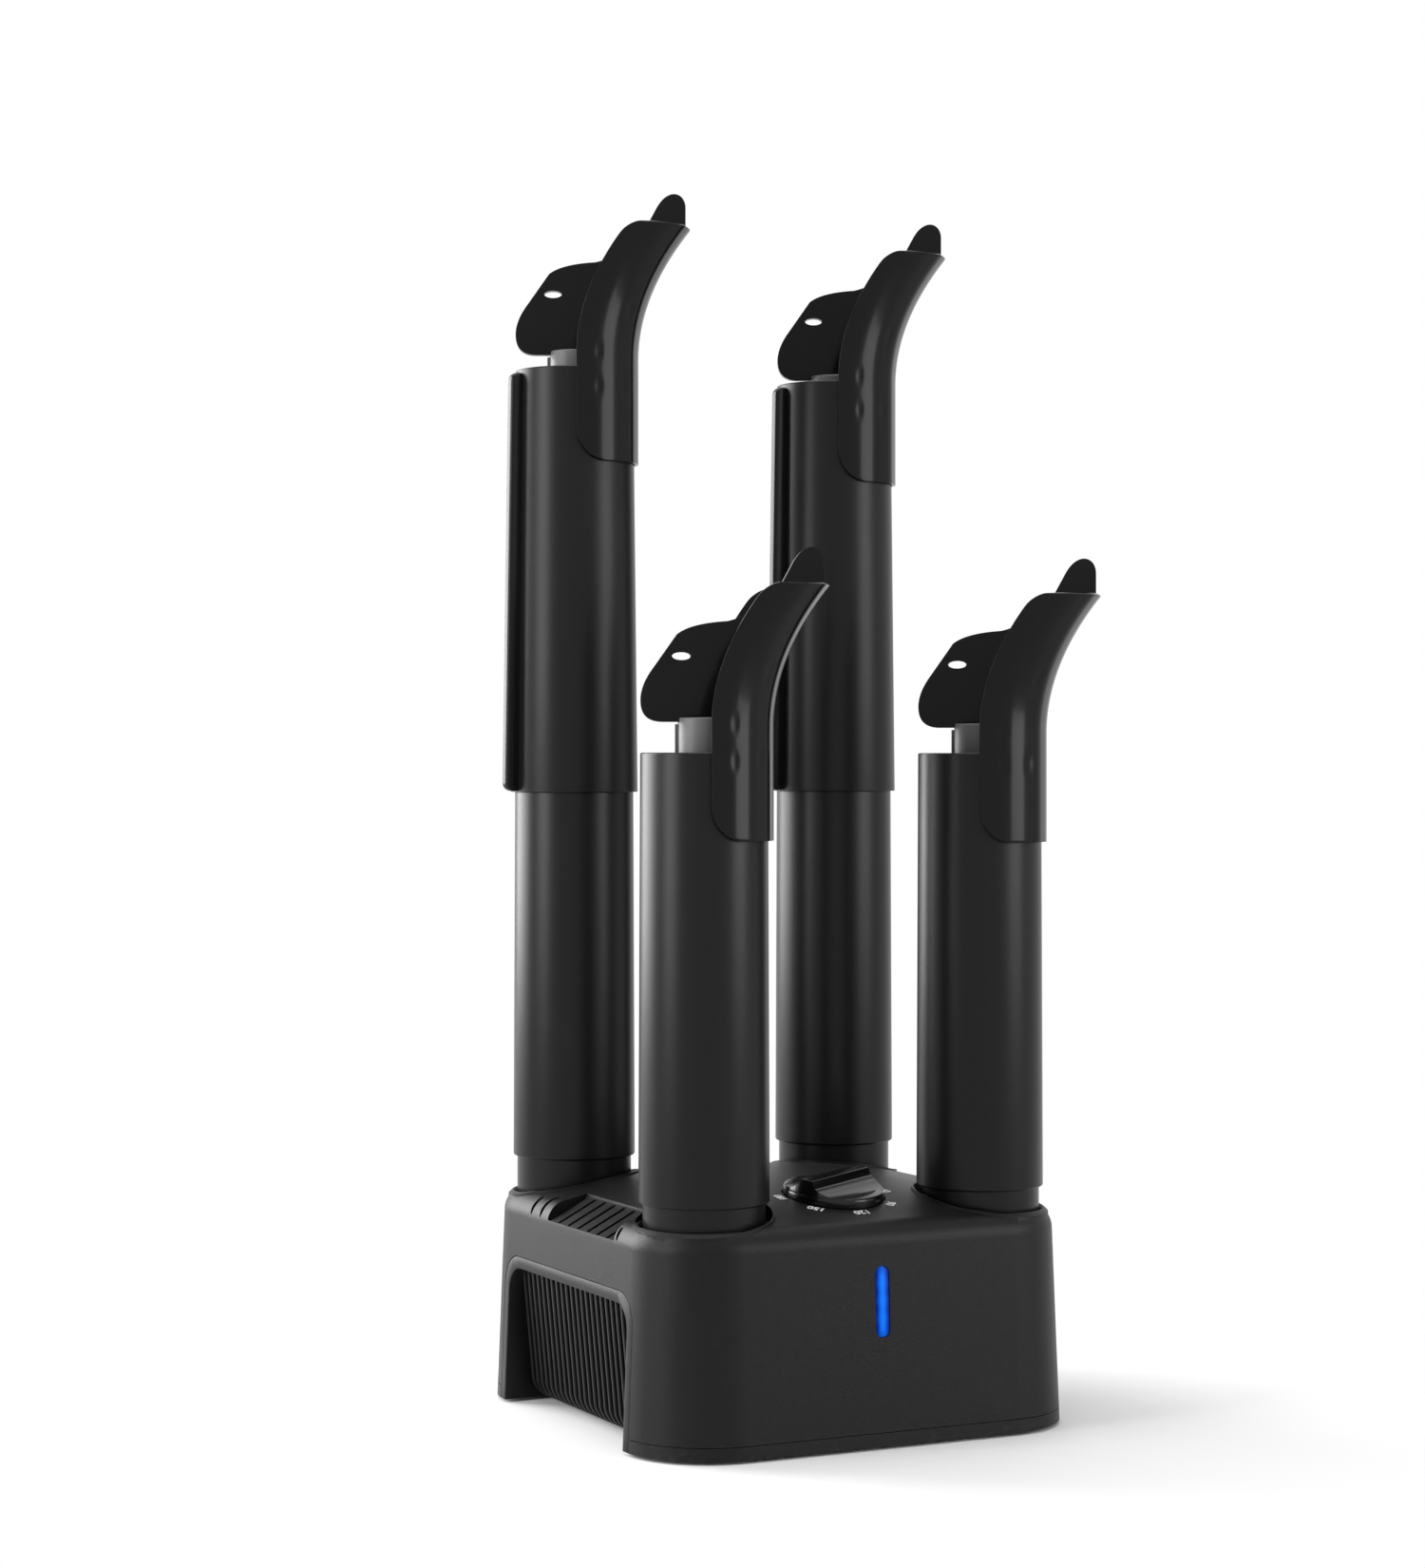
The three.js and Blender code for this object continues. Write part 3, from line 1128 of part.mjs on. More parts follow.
function headCore() {
  const plate = extrudedAlongY(plateShape(), PLATE_THICKNESS, 4);
  const slotShape = new THREE.Shape();
  slotShape.absellipse(-SLOT_OFFSET, SLOT_RISE, SLOT_LENGTH / 2, SLOT_HEIGHT / 2, 0, Math.PI * 2);
  const slot = extrudedAlongY(slotShape, PLATE_THICKNESS * 3, 5);
  const stemLow = -(HEAD_LOWEST_GAP + INSERT_SINK + HEAD_TRAVEL + STEM_HOLD);
  const stem = disc(STEM_RADIUS, stemLow, STEM_RISE, MEDIUM_ROUND);
  const keyHalf = STEM_KEY_WIDTH / 2;
  const key = box([-STEM_RADIUS - STEM_KEY_PROUD, -keyHalf, stemLow], [0, keyHalf, -SUNK]);
  const bore = disc(STEM_RADIUS - STEM_WALL, stemLow - CUT_PAST, SUNK, MEDIUM_ROUND);
  return cut(joined([plate.subtract(slot), stem, key]), [bore]);
}

// Assembly

const dryer = new THREE.Group();

function addCase() {
  dryer.add(mesh('top_housing', topHousing(), MATTE_BLACK));
  dryer.add(mesh('base_tray', baseTray(), MATTE_BLACK));
  dryer.add(mesh('side_grille_left', sideGrille(-1), MATTE_BLACK));
  dryer.add(mesh('side_grille_right', sideGrille(1), MATTE_BLACK));
  dryer.add(mesh('light_pipe', lightPipe(), LIGHT_BLUE));
  dryer.add(mesh('light_board', lightBoard(), BOARD_GREEN));
  dryer.add(mesh('cord_gland', cordGland(), RUBBER));
  HEADS.forEach(({ name, side, end }) => {
    dryer.add(mesh(`foot_${name}`, foot(side, end), RUBBER));
    dryer.add(mesh(`case_screw_${name}`, caseScrew(side, end), STEEL));
  });
}

function addTimer() {
  const timer = new THREE.Group();
  timer.position.set(0, -KNOB_OFFSET, crownHeightAt(KNOB_OFFSET));
  timer.rotation.x = radians(KNOB_TILT);
  timer.add(mesh('timer_body', timerBody(), WHITE_NYLON));
  const dial = new THREE.Group();
  dial.rotation.z = -radians(KNOB_REST_ANGLE);
  dial.add(mesh('timer_knob', timerKnob(), GLOSS_BLACK));
  dial.add(mesh('timer_shaft', timerShaft(), WHITE_NYLON));
  timer.add(dial);
  dryer.add(timer);
}

function addBlower() {
  dryer.add(mesh('fan_frame', fanFrame(), DARK_GREY));
  dryer.add(mesh('fan_motor', fanMotor(), STEEL));
  dryer.add(mesh('fan_impeller', fanImpeller(), DARK_GREY));
  dryer.add(mesh('heater_frame', heaterFrame(), MICA));
  dryer.add(mesh('heater_element', heaterElement(), ALUMINIUM));
  dryer.add(mesh('thermal_cutout', thermalCutout(), STEEL));
  dryer.add(mesh('air_manifold', airManifold(), DARK_GREY));
}

function addTube({ name, side, end, turn, lift }) {
  const station = new THREE.Group();
  station.position.set(side * TUBE_HALF, end * TUBE_HALF, 0);
  station.add(mesh(`${name}_tube`, airTube(), TUBE_BLACK));
  const extended = end > 0;
  if (extended) station.add(mesh(`${name}_extension`, extensionTube(), TUBE_BLACK));
  const top = extended ? EXTENSION_TOP : TUBE_TOP;
  const turning = new THREE.Group();
  turning.rotation.z = radians(turn);
  turning.add(mesh(`${name}_insert`, swivelInsert(top), TUBE_BLACK));
  const head = new THREE.Group();
  head.position.z = top + HEAD_LOWEST_GAP + lift;
  head.add(mesh(`${name}_head_core`, headCore(), GLOSS_BLACK));
  head.add(mesh(`${name}_head_shell`, headShell(), GLOSS_BLACK));
  turning.add(head);
  station.add(turning);
  dryer.add(station);
}

addCase();
addTimer();
addBlower();
HEADS.forEach(addTube);
dryer.updateMatrixWorld(true);

export default dryer;
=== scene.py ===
"""Looks of a four-tube boot dryer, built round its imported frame.

Sizes are in millimetres unless said.
"""

import json
import logging
import math
from collections.abc import Callable, Iterable, Sequence
from dataclasses import dataclass, field
from enum import Enum
from typing import Any

import bmesh
import bpy
from mathutils import Matrix, Vector
from mathutils.bvhtree import BVHTree

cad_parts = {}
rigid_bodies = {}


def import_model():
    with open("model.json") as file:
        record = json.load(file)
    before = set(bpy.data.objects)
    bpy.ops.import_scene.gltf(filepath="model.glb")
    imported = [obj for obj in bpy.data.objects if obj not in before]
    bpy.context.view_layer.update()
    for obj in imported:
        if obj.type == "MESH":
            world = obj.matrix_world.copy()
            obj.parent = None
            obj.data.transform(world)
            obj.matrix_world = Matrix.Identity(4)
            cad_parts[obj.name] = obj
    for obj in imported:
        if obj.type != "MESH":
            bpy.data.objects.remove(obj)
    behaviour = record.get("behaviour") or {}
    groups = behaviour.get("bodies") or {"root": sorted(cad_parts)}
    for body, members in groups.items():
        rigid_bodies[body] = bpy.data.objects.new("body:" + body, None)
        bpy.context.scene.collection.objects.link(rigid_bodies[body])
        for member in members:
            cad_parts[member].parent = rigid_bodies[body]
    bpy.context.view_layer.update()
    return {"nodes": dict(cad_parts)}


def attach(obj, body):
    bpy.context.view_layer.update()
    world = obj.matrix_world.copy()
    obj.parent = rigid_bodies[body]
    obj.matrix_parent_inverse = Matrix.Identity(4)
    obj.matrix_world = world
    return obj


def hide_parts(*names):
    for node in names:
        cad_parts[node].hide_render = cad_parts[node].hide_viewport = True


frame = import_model()
LOG = logging.getLogger("dryer")
MM = 0.001
FAR = 150.0  # further out than any wall of the case
OVER = 5.0  # how far a cutter runs past what it cuts
GAP = 0.3  # clearance between seated pieces
Point = tuple[float, float]
Colour = tuple[float, float, float]


class Operation(Enum):
    """How one solid is worked on by another."""

    JOIN = "UNION"
    CUT = "DIFFERENCE"
    KEEP = "INTERSECT"


class Axis(Enum):
    """The axis along which a flat outline is drawn out."""

    X = "x"
    Y = "y"
    Z = "z"


# Outlines and meshes


class Outline:
    """A closed flat outline made of lines and curves."""

    def __init__(self, start: Point) -> None:
        """Begin at a point.

        Args:
            start: The first corner.
        """
        self.points: list[Point] = [start]

    def line(self, *corners: Point) -> "Outline":
        """Run straight through the given corners.

        Args:
            corners: The next points.

        Returns:
            The same outline.
        """
        self.points.extend(corners)
        return self

    def curve(self, *handles: Point, steps: int = 14) -> "Outline":
        """Follow a Bezier curve whose last handle is its end.

        Args:
            handles: Two handles for a quadratic curve, three for a cubic one.
            steps: How many short lines stand for the curve.

        Returns:
            The same outline.
        """
        hull = [self.points[-1], *handles]
        for step in range(1, steps + 1):
            t = step / steps
            level = hull
            while len(level) > 1:
                level = [
                    ((1 - t) * a[0] + t * b[0], (1 - t) * a[1] + t * b[1])
                    for a, b in zip(level, level[1:])
                ]
            self.points.append(level[0])
        return self


def filleted(corners: Sequence[tuple[float, float, float]], steps: int = 5) -> list[Point]:
    """Round the corners of a closed outline.

    Args:
        corners: Corners as (a, b, radius).
        steps: Short lines in each rounded corner.

    Returns:
        The points of the rounded outline.
    """
    points: list[Point] = []
    count = len(corners)
    for i, (a, b, radius) in enumerate(corners):
        corner = Vector((a, b))
        if radius <= 0:
            points.append((a, b))
            continue
        before = (Vector(corners[i - 1][:2]) - corner).normalized()
        after = (Vector(corners[(i + 1) % count][:2]) - corner).normalized()
        half = before.angle(after) / 2
        reach = radius / math.tan(half)
        middle = corner + (before + after).normalized() * (radius / math.sin(half))
        first, last = corner + before * reach - middle, corner + after * reach - middle
        sweep = math.atan2(first.x * last.y - first.y * last.x, first.dot(last))
        for step in range(steps + 1):
            turn = Matrix.Rotation(sweep * step / steps, 2)
            points.append(tuple(middle + turn @ first))
    return points


def linked(name: str, data: bpy.types.ID) -> bpy.types.Object:
    """Put a new object into the scene.

    Args:
        name: The name of the object.
        data: Its mesh, curve, lamp or camera.

    Returns:
        The object.
    """
    thing = bpy.data.objects.new(name, data)
    bpy.context.scene.collection.objects.link(thing)
    return thing


def made(
    name: str, vertices: Iterable[Sequence[float]], faces: Iterable[Sequence[int]]
) -> bpy.types.Object:
    """Make an object from corners in millimetres, merged, closed and facing outwards.

    Args:
        name: The name of the object.
        vertices: Corners in millimetres.
        faces: Corner numbers of each face.

    Returns:
        The object, with its place in its mesh.
    """
    mesh = bpy.data.meshes.new(name)
    mesh.from_pydata([Vector(v) * MM for v in vertices], [], [tuple(f) for f in faces])
    work = bmesh.new()
    work.from_mesh(mesh)
    bmesh.ops.remove_doubles(work, verts=work.verts, dist=1e-7)
    bmesh.ops.dissolve_degenerate(work, edges=work.edges, dist=1e-7)
    bmesh.ops.recalc_face_normals(work, faces=work.faces)
    work.to_mesh(mesh)
    work.free()
    mesh.update()
    return linked(name, mesh)


def turned(name: str, profile: Sequence[Point], segments: int = 96) -> bpy.types.Object:
    """Turn a closed profile of (radius, height) points about Z.

    Args:
        name: The name of the object.
        profile: The closed profile.
        segments: Facets round the turn.

    Returns:
        The turned solid.
    """
    count = len(profile)
    vertices = []
    faces = []
    for i in range(segments):
        angle = math.tau * i / segments
        vertices += [(r * math.cos(angle), r * math.sin(angle), z) for r, z in profile]
        j = (i + 1) % segments
        for k in range(count):
            m = (k + 1) % count
            faces.append((i * count + k, j * count + k, j * count + m, i * count + m))
    return made(name, vertices, faces)


def drawn_out(
    name: str, outline: Sequence[Point], low: float, high: float, axis: Axis
) -> bpy.types.Object:
    """Draw a flat outline out along an axis.

    Args:
        name: The name of the object.
        outline: Points in the XY plane for Z, in XZ for Y, and in YZ for X.
        low: Where it starts along the axis.
        high: Where it ends.
        axis: The axis.

    Returns:
        The solid.
    """
    place: dict[Axis, Callable[[float, float, float], tuple[float, float, float]]] = {
        Axis.X: lambda a, b, c: (c, a, b),
        Axis.Y: lambda a, b, c: (a, c, b),
        Axis.Z: lambda a, b, c: (a, b, c),
    }
    count = len(outline)
    vertices = [place[axis](a, b, c) for c in (low, high) for a, b in outline]
    faces: list[Sequence[int]] = [range(count), range(count, 2 * count)]
    faces += [(i, (i + 1) % count, (i + 1) % count + count, i + count) for i in range(count)]
    return made(name, vertices, faces)


def block(name: str, low: Sequence[float], high: Sequence[float]) -> bpy.types.Object:
    """Make a box between two corners, as a tool for cutting and joining."""
    outline = [(low[0], low[1]), (high[0], low[1]), (high[0], high[1]), (low[0], high[1])]
    return drawn_out(name, outline, low[2], high[2], Axis.Z)


def slab(name: str, low: float, high: float) -> bpy.types.Object:
    """Make a level slab wider than the case, as a tool for cutting."""
    return block(name, (-FAR, -FAR, low), (FAR, FAR, high))


def pin(name: str, radius: float, low: float, high: float, segments: int = 96) -> bpy.types.Object:
    """Make an upright round pin, as a tool for cutting and joining."""
    return turned(name, [(0, low), (radius, low), (radius, high), (0, high)], segments)


def lofted(name: str, rings: Sequence[Sequence[Sequence[float]]]) -> bpy.types.Object:
    """Close a skin through rings of equal counts.

    Args:
        name: The name of the object.
        rings: Rings of corners, from the lowest to the highest.

    Returns:
        The closed solid.
    """
    count = len(rings[0])
    vertices = [v for ring in rings for v in ring]
    faces: list[Sequence[int]] = [range(count), range(len(vertices) - count, len(vertices))]
    for row in range(len(rings) - 1):
        for i in range(count):
            a, b = row * count + i, row * count + (i + 1) % count
            faces.append((a, b, b + count, a + count))
    return made(name, vertices, faces)


def placed(thing: bpy.types.Object, *steps: Matrix) -> bpy.types.Object:
    """Move a mesh itself by the given steps, in order.

    Args:
        thing: The object whose mesh moves.
        steps: Matrices, in metres.

    Returns:
        The same object.
    """
    for step in steps:
        thing.data.transform(step)
        if step.determinant() < 0:
            thing.data.flip_normals()
    thing.data.update()
    return thing


def shift(x: float, y: float, z: float = 0.0) -> Matrix:
    """A move by millimetres."""
    return Matrix.Translation(Vector((x, y, z)) * MM)


def spin(degrees: float, axis: str = "Z") -> Matrix:
    """A turn about an axis through the origin."""
    return Matrix.Rotation(math.radians(degrees), 4, axis)


def copied(thing: bpy.types.Object, name: str) -> bpy.types.Object:
    """Copy an object with a mesh of its own."""
    return linked(name, thing.data.copy())


def fixed(thing: bpy.types.Object) -> bpy.types.Object:
    """Turn the result of the modifiers into the object's own mesh.

    Args:
        thing: The object.

    Returns:
        The same object, without modifiers.
    """
    graph = bpy.context.evaluated_depsgraph_get()
    mesh = bpy.data.meshes.new_from_object(thing.evaluated_get(graph))
    thing.modifiers.clear()
    thing.data = mesh
    return thing


def settled(parts: Any, place: Callable[[Any], Iterable[float]]) -> None:
    """Put the corners or faces of a mesh in the order of their places."""
    ranks = {part: k for k, part in enumerate(sorted(parts, key=lambda p: tuple(place(p))))}
    parts.sort(key=ranks.get)


def worked(
    thing: bpy.types.Object, tools: Iterable[bpy.types.Object], operation: Operation
) -> bpy.types.Object:
    """Join, cut or keep a solid by others, which are used up.

    Args:
        thing: The solid that is worked on.
        tools: The other solids.
        operation: What they do to it.

    Returns:
        The same object with its new mesh.
    """
    tools = list(tools)
    for tool in tools:
        step = thing.modifiers.new("work", "BOOLEAN")
        step.operation = operation.value
        step.solver = "MANIFOLD"
        step.object = tool
    fixed(thing)
    for tool in tools:
        bpy.data.objects.remove(tool)
    return thing


def smoothed(thing: bpy.types.Object, angle: float = 38.0) -> bpy.types.Object:
    """Shade a mesh smooth, with sharp edges past an angle in degrees.

    Args:
        thing: The object.
        angle: Edges sharper than this stay sharp, in degrees.

    Returns:
        The same object.
    """
    thing.data.shade_smooth()
    thing.data.set_sharp_from_angle(angle=math.radians(angle))
    return thing


def eased(
    thing: bpy.types.Object, width: float, segments: int = 3, angle: float = 40.0
) -> bpy.types.Object:
    """Round the edges of a solid.

    Args:
        thing: The solid.
        width: Width of the rounding.
        segments: Facets across it.
        angle: Edges sharper than this are rounded, in degrees.

    Returns:
        The same object, shaded smooth.
    """
    step = thing.modifiers.new("ease", "BEVEL")
    step.width = width * MM
    step.segments = segments
    step.limit_method = "ANGLE"
    step.angle_limit = math.radians(angle)
    step.use_clamp_overlap = True
    step.harden_normals = False
    thing.data.shade_smooth()
    return smoothed(fixed(thing))


def evened(thing: bpy.types.Object) -> bpy.types.Object:
    """Let the large faces lead the shading, so that walls look flat round their openings.

    Args:
        thing: The object.

    Returns:
        The same object.
    """
    step = thing.modifiers.new("even", "WEIGHTED_NORMAL")
    step.mode = "FACE_AREA"
    step.weight = 90
    step.keep_sharp = True
    return fixed(thing)


# Node graphs


class Value:
    """A number carried by a node socket, with Python's operators."""

    def __init__(self, graph: "Graph", socket: bpy.types.NodeSocket) -> None:
        """Wrap a socket.

        Args:
            graph: The graph that holds the socket.
            socket: The output socket.
        """
        self.graph = graph
        self.socket = socket

    def math(self, operation: str, *others: Any) -> "Value":
        """Add a Math node with this value first."""
        return self.graph.math(operation, self, *others)

    def __add__(self, other: Any) -> "Value":
        """Sum."""
        return self.math("ADD", other)

    def __sub__(self, other: Any) -> "Value":
        """Difference."""
        return self.math("SUBTRACT", other)

    def __mul__(self, other: Any) -> "Value":
        """Product."""
        return self.math("MULTIPLY", other)

    def __truediv__(self, other: Any) -> "Value":
        """Quotient."""
        return self.math("DIVIDE", other)

    def __pow__(self, other: Any) -> "Value":
        """Power."""
        return self.math("POWER", other)

    def __neg__(self) -> "Value":
        """Opposite."""
        return self.math("MULTIPLY", -1.0)

    def __abs__(self) -> "Value":
        """Size without sign."""
        return self.math("ABSOLUTE")

    __radd__ = __add__
    __rmul__ = __mul__

    def ramp(self, low: float, high: float, start: float = 0.0, end: float = 1.0) -> "Value":
        """Ease from one number to another as this value goes from low to high.

        Args:
            low: Where the ease begins.
            high: Where it ends.
            start: The result up to low.
            end: The result from high on.

        Returns:
            The eased value.
        """
        settings = {"interpolation_type": "SMOOTHSTEP"}
        return self.graph.add(
            "ShaderNodeMapRange", settings, {0: self, 1: low, 2: high, 3: start, 4: end}
        )


class Graph:
    """A node tree that is filled from Python."""

    def __init__(self, tree: bpy.types.NodeTree) -> None:
        """Wrap an empty tree.

        Args:
            tree: The node tree.
        """
        self.tree = tree

    def add(
        self,
        kind: str,
        settings: dict[str, Any] | None = None,
        inputs: dict[int | str, Any] | None = None,
        out: int | str = 0,
    ) -> Value:
        """Add a node.

        Args:
            kind: Blender's type name of the node.
            settings: The node's own settings, set first.
            inputs: Values or links by socket number or name.
            out: The output that is handed back.

        Returns:
            The wrapped output.
        """
        node = self.tree.nodes.new(kind)
        for name, setting in (settings or {}).items():
            setattr(node, name, setting)
        for key, value in (inputs or {}).items():
            if isinstance(value, Value):
                self.tree.links.new(value.socket, node.inputs[key])
            else:
                node.inputs[key].default_value = value
        return Value(self, node.outputs[out] if len(node.outputs) else None)

    def math(self, operation: str, *values: Any) -> Value:
        """Add a Math node for the operation on the given values."""
        return self.add("ShaderNodeMath", {"operation": operation}, dict(enumerate(values)))

    def separate(self, vector: Value) -> tuple[Value, Value, Value]:
        """Split a vector into its three numbers.

        Args:
            vector: The vector.

        Returns:
            Its numbers along X, Y and Z.
        """
        first = self.add("ShaderNodeSeparateXYZ", None, {0: vector})
        outputs = first.socket.node.outputs
        return first, Value(self, outputs[1]), Value(self, outputs[2])

    def combine(self, x: Any, y: Any, z: Any) -> Value:
        """Join three numbers into a vector."""
        return self.add("ShaderNodeCombineXYZ", None, {0: x, 1: y, 2: z})


class ShapeTree(Graph):
    """A Geometry Nodes tree with named inputs."""

    def __init__(self, name: str) -> None:
        """Make the tree with a shape going in and one coming out.

        Args:
            name: The name of the tree.
        """
        super().__init__(bpy.data.node_groups.new(name, "GeometryNodeTree"))
        self.ids: dict[str, str] = {}
        self.tree.interface.new_socket(
            name="Shape", in_out="OUTPUT", socket_type="NodeSocketGeometry"
        )
        self.source = self.tree.nodes.new("NodeGroupInput")
        self.take("Shape", "NodeSocketGeometry")

    def take(self, name: str, kind: str = "NodeSocketFloat") -> Value:
        """Add a named input.

        Args:
            name: The name of the input.
            kind: Blender's socket type.

        Returns:
            The input's value inside the tree.
        """
        item = self.tree.interface.new_socket(name=name, in_out="INPUT", socket_type=kind)
        self.ids[name] = item.identifier
        return Value(self, self.source.outputs[name])

    def give(self, shape: Value, finish: Value) -> None:
        """End the tree: real geometry with its material.

        Args:
            shape: The shape that comes out.
            finish: Its material.
        """
        real = self.add("GeometryNodeRealizeInstances", None, {0: shape})
        dressed = self.add("GeometryNodeSetMaterial", None, {"Geometry": real, "Material": finish})
        end = self.tree.nodes.new("NodeGroupOutput")
        self.tree.links.new(dressed.socket, end.inputs[0])

    def repeat(self, shape: Value, points: Value, finish: Value) -> None:
        """End the tree with its shape on each point."""
        inputs = {"Points": points, "Instance": shape}
        self.give(self.add("GeometryNodeInstanceOnPoints", None, inputs), finish)

    def run(self, thing: bpy.types.Object, **sizes: Any) -> bpy.types.Object:
        """Run the tree on an object and keep the result as its mesh.

        Args:
            thing: The object that carries the shape that goes in.
            sizes: Values for the named inputs, with _ for a space.

        Returns:
            The same object.
        """
        step = thing.modifiers.new(self.tree.name, "NODES")
        step.node_group = self.tree
        for name, size in sizes.items():
            step[self.ids[name.replace("_", " ")]] = size
        thing.update_tag()
        return fixed(thing)


def repeated_along_y() -> ShapeTree:
    """A tree that repeats its shape at an even pitch along Y, about the middle.

    Returns:
        The tree, with inputs Count, Pitch and Finish.
    """
    tree = ShapeTree("Repeated along Y")
    shape = Value(tree, tree.source.outputs["Shape"])
    count = tree.take("Count", "NodeSocketInt")
    pitch = tree.take("Pitch")
    finish = tree.take("Finish", "NodeSocketMaterial")
    start = tree.combine(0.0, -(count - 1) * pitch / 2, 0.0)
    points = tree.add(
        "GeometryNodeMeshLine",
        {"mode": "OFFSET"},
        {"Count": count, "Start Location": start, "Offset": tree.combine(0.0, pitch, 0.0)},
    )
    tree.repeat(shape, points, finish)
    return tree


def repeated_at_corners() -> ShapeTree:
    """A tree that repeats its shape at the four corners of a rectangle.

    Returns:
        The tree, with inputs Width, Depth and Finish.
    """
    tree = ShapeTree("Repeated at corners")
    shape = Value(tree, tree.source.outputs["Shape"])
    width = tree.take("Width")
    depth = tree.take("Depth")
    finish = tree.take("Finish", "NodeSocketMaterial")
    counts = {"Size X": width, "Size Y": depth, "Vertices X": 2, "Vertices Y": 2}
    points = tree.add("GeometryNodeMeshGrid", None, counts)
    tree.repeat(shape, points, finish)
    return tree


def stadium_slots() -> ShapeTree:
    """A tree that stands a long round-ended slot on each point of its shape.

    Each point carries the slot's length past its first round end in the attribute "reach".

    Returns:
        The tree, with inputs Width, Height and Finish.
    """
    tree = ShapeTree("Stadium slots")
    shape = Value(tree, tree.source.outputs["Shape"])
    width = tree.take("Width")
    height = tree.take("Height")
    finish = tree.take("Finish", "NodeSocketMaterial")
    post = tree.add(
        "GeometryNodeMeshCylinder",
        {"fill_type": "NGON"},
        {"Vertices": 22, "Side Segments": 1, "Radius": width / 2, "Depth": height},
    )
    x, _, _ = tree.separate(tree.add("GeometryNodeInputPosition"))
    far = tree.math("GREATER_THAN", x, 0.0)
    marked = tree.add(
        "GeometryNodeStoreNamedAttribute",
        {"data_type": "FLOAT", "domain": "POINT"},
        {"Geometry": post, "Name": "far", "Value": far},
    )
    pins = tree.add("GeometryNodeInstanceOnPoints", None, {"Points": shape, "Instance": marked})
    real = tree.add("GeometryNodeRealizeInstances", None, {0: pins})
    reach = tree.add("GeometryNodeInputNamedAttribute", {"data_type": "FLOAT"}, {"Name": "reach"})
    end = tree.add("GeometryNodeInputNamedAttribute", {"data_type": "FLOAT"}, {"Name": "far"})
    offset = tree.combine(reach * end, 0.0, 0.0)
    tree.give(
        tree.add("GeometryNodeSetPosition", None, {"Geometry": real, "Offset": offset}), finish
    )
    return tree


# Finishes


class Skin(Graph):
    """A material whose surface is worked out from the object's own coordinates."""

    def __init__(self, name: str) -> None:
        """Make the material with its shader.

        Args:
            name: The name of the material.
        """
        self.material = bpy.data.materials.new(name)
        self.material.use_nodes = True
        super().__init__(self.material.node_tree)
        self.shader = self.tree.nodes["Principled BSDF"]
        self.place = self.add("ShaderNodeTexCoord", None, None, "Object")

    def set(self, **sockets: Any) -> None:
        """Set or link the shader's sockets by name, with _ for a space.

        Args:
            sockets: Values, colours or links by socket name.
        """
        for name, value in sockets.items():
            socket = self.shader.inputs[name.replace("_", " ")]
            if isinstance(value, Value):
                self.tree.links.new(value.socket, socket)
            elif isinstance(value, tuple) and len(value) == 3:
                socket.default_value = (*value, 1.0)
            else:
                socket.default_value = value

    def scaled(self, x: float, y: float, z: float) -> Value:
        """The object's coordinates, stretched.

        Args:
            x: Stretch along X.
            y: Stretch along Y.
            z: Stretch along Z.

        Returns:
            The stretched coordinates.
        """
        return self.add(
            "ShaderNodeVectorMath", {"operation": "MULTIPLY"}, {0: self.place, 1: (x, y, z)}
        )

    def noise(self, scale: float, detail: float = 2.0, place: Value | None = None) -> Value:
        """Noise from 0 to 1.

        Args:
            scale: How many spots to the metre.
            detail: Octaves.
            place: Coordinates, or the object's own.

        Returns:
            The noise.
        """
        inputs = {"Vector": place or self.place, "Scale": scale, "Detail": detail}
        return self.add("ShaderNodeTexNoise", None, inputs)

    def blend(self, mask: Value, first: Colour, second: Colour | Value) -> Value:
        """Mix two colours by a mask.

        Args:
            mask: 0 for the first colour, 1 for the second.
            first: The first colour.
            second: The second colour.

        Returns:
            The mixed colour.
        """
        other = second if isinstance(second, Value) else (*second, 1.0)
        return self.add(
            "ShaderNodeMix", {"data_type": "RGBA"}, {0: mask, 6: (*first, 1.0), 7: other}, 2
        )

    def bump(self, height: Value, depth: float) -> Value:
        """Bump from a height of 0 to 1.

        Args:
            height: The height.
            depth: Its depth in millimetres.

        Returns:
            The bumped normal.
        """
        inputs = {"Strength": 1.0, "Distance": depth * MM, "Height": height}
        return self.add("ShaderNodeBump", None, inputs)


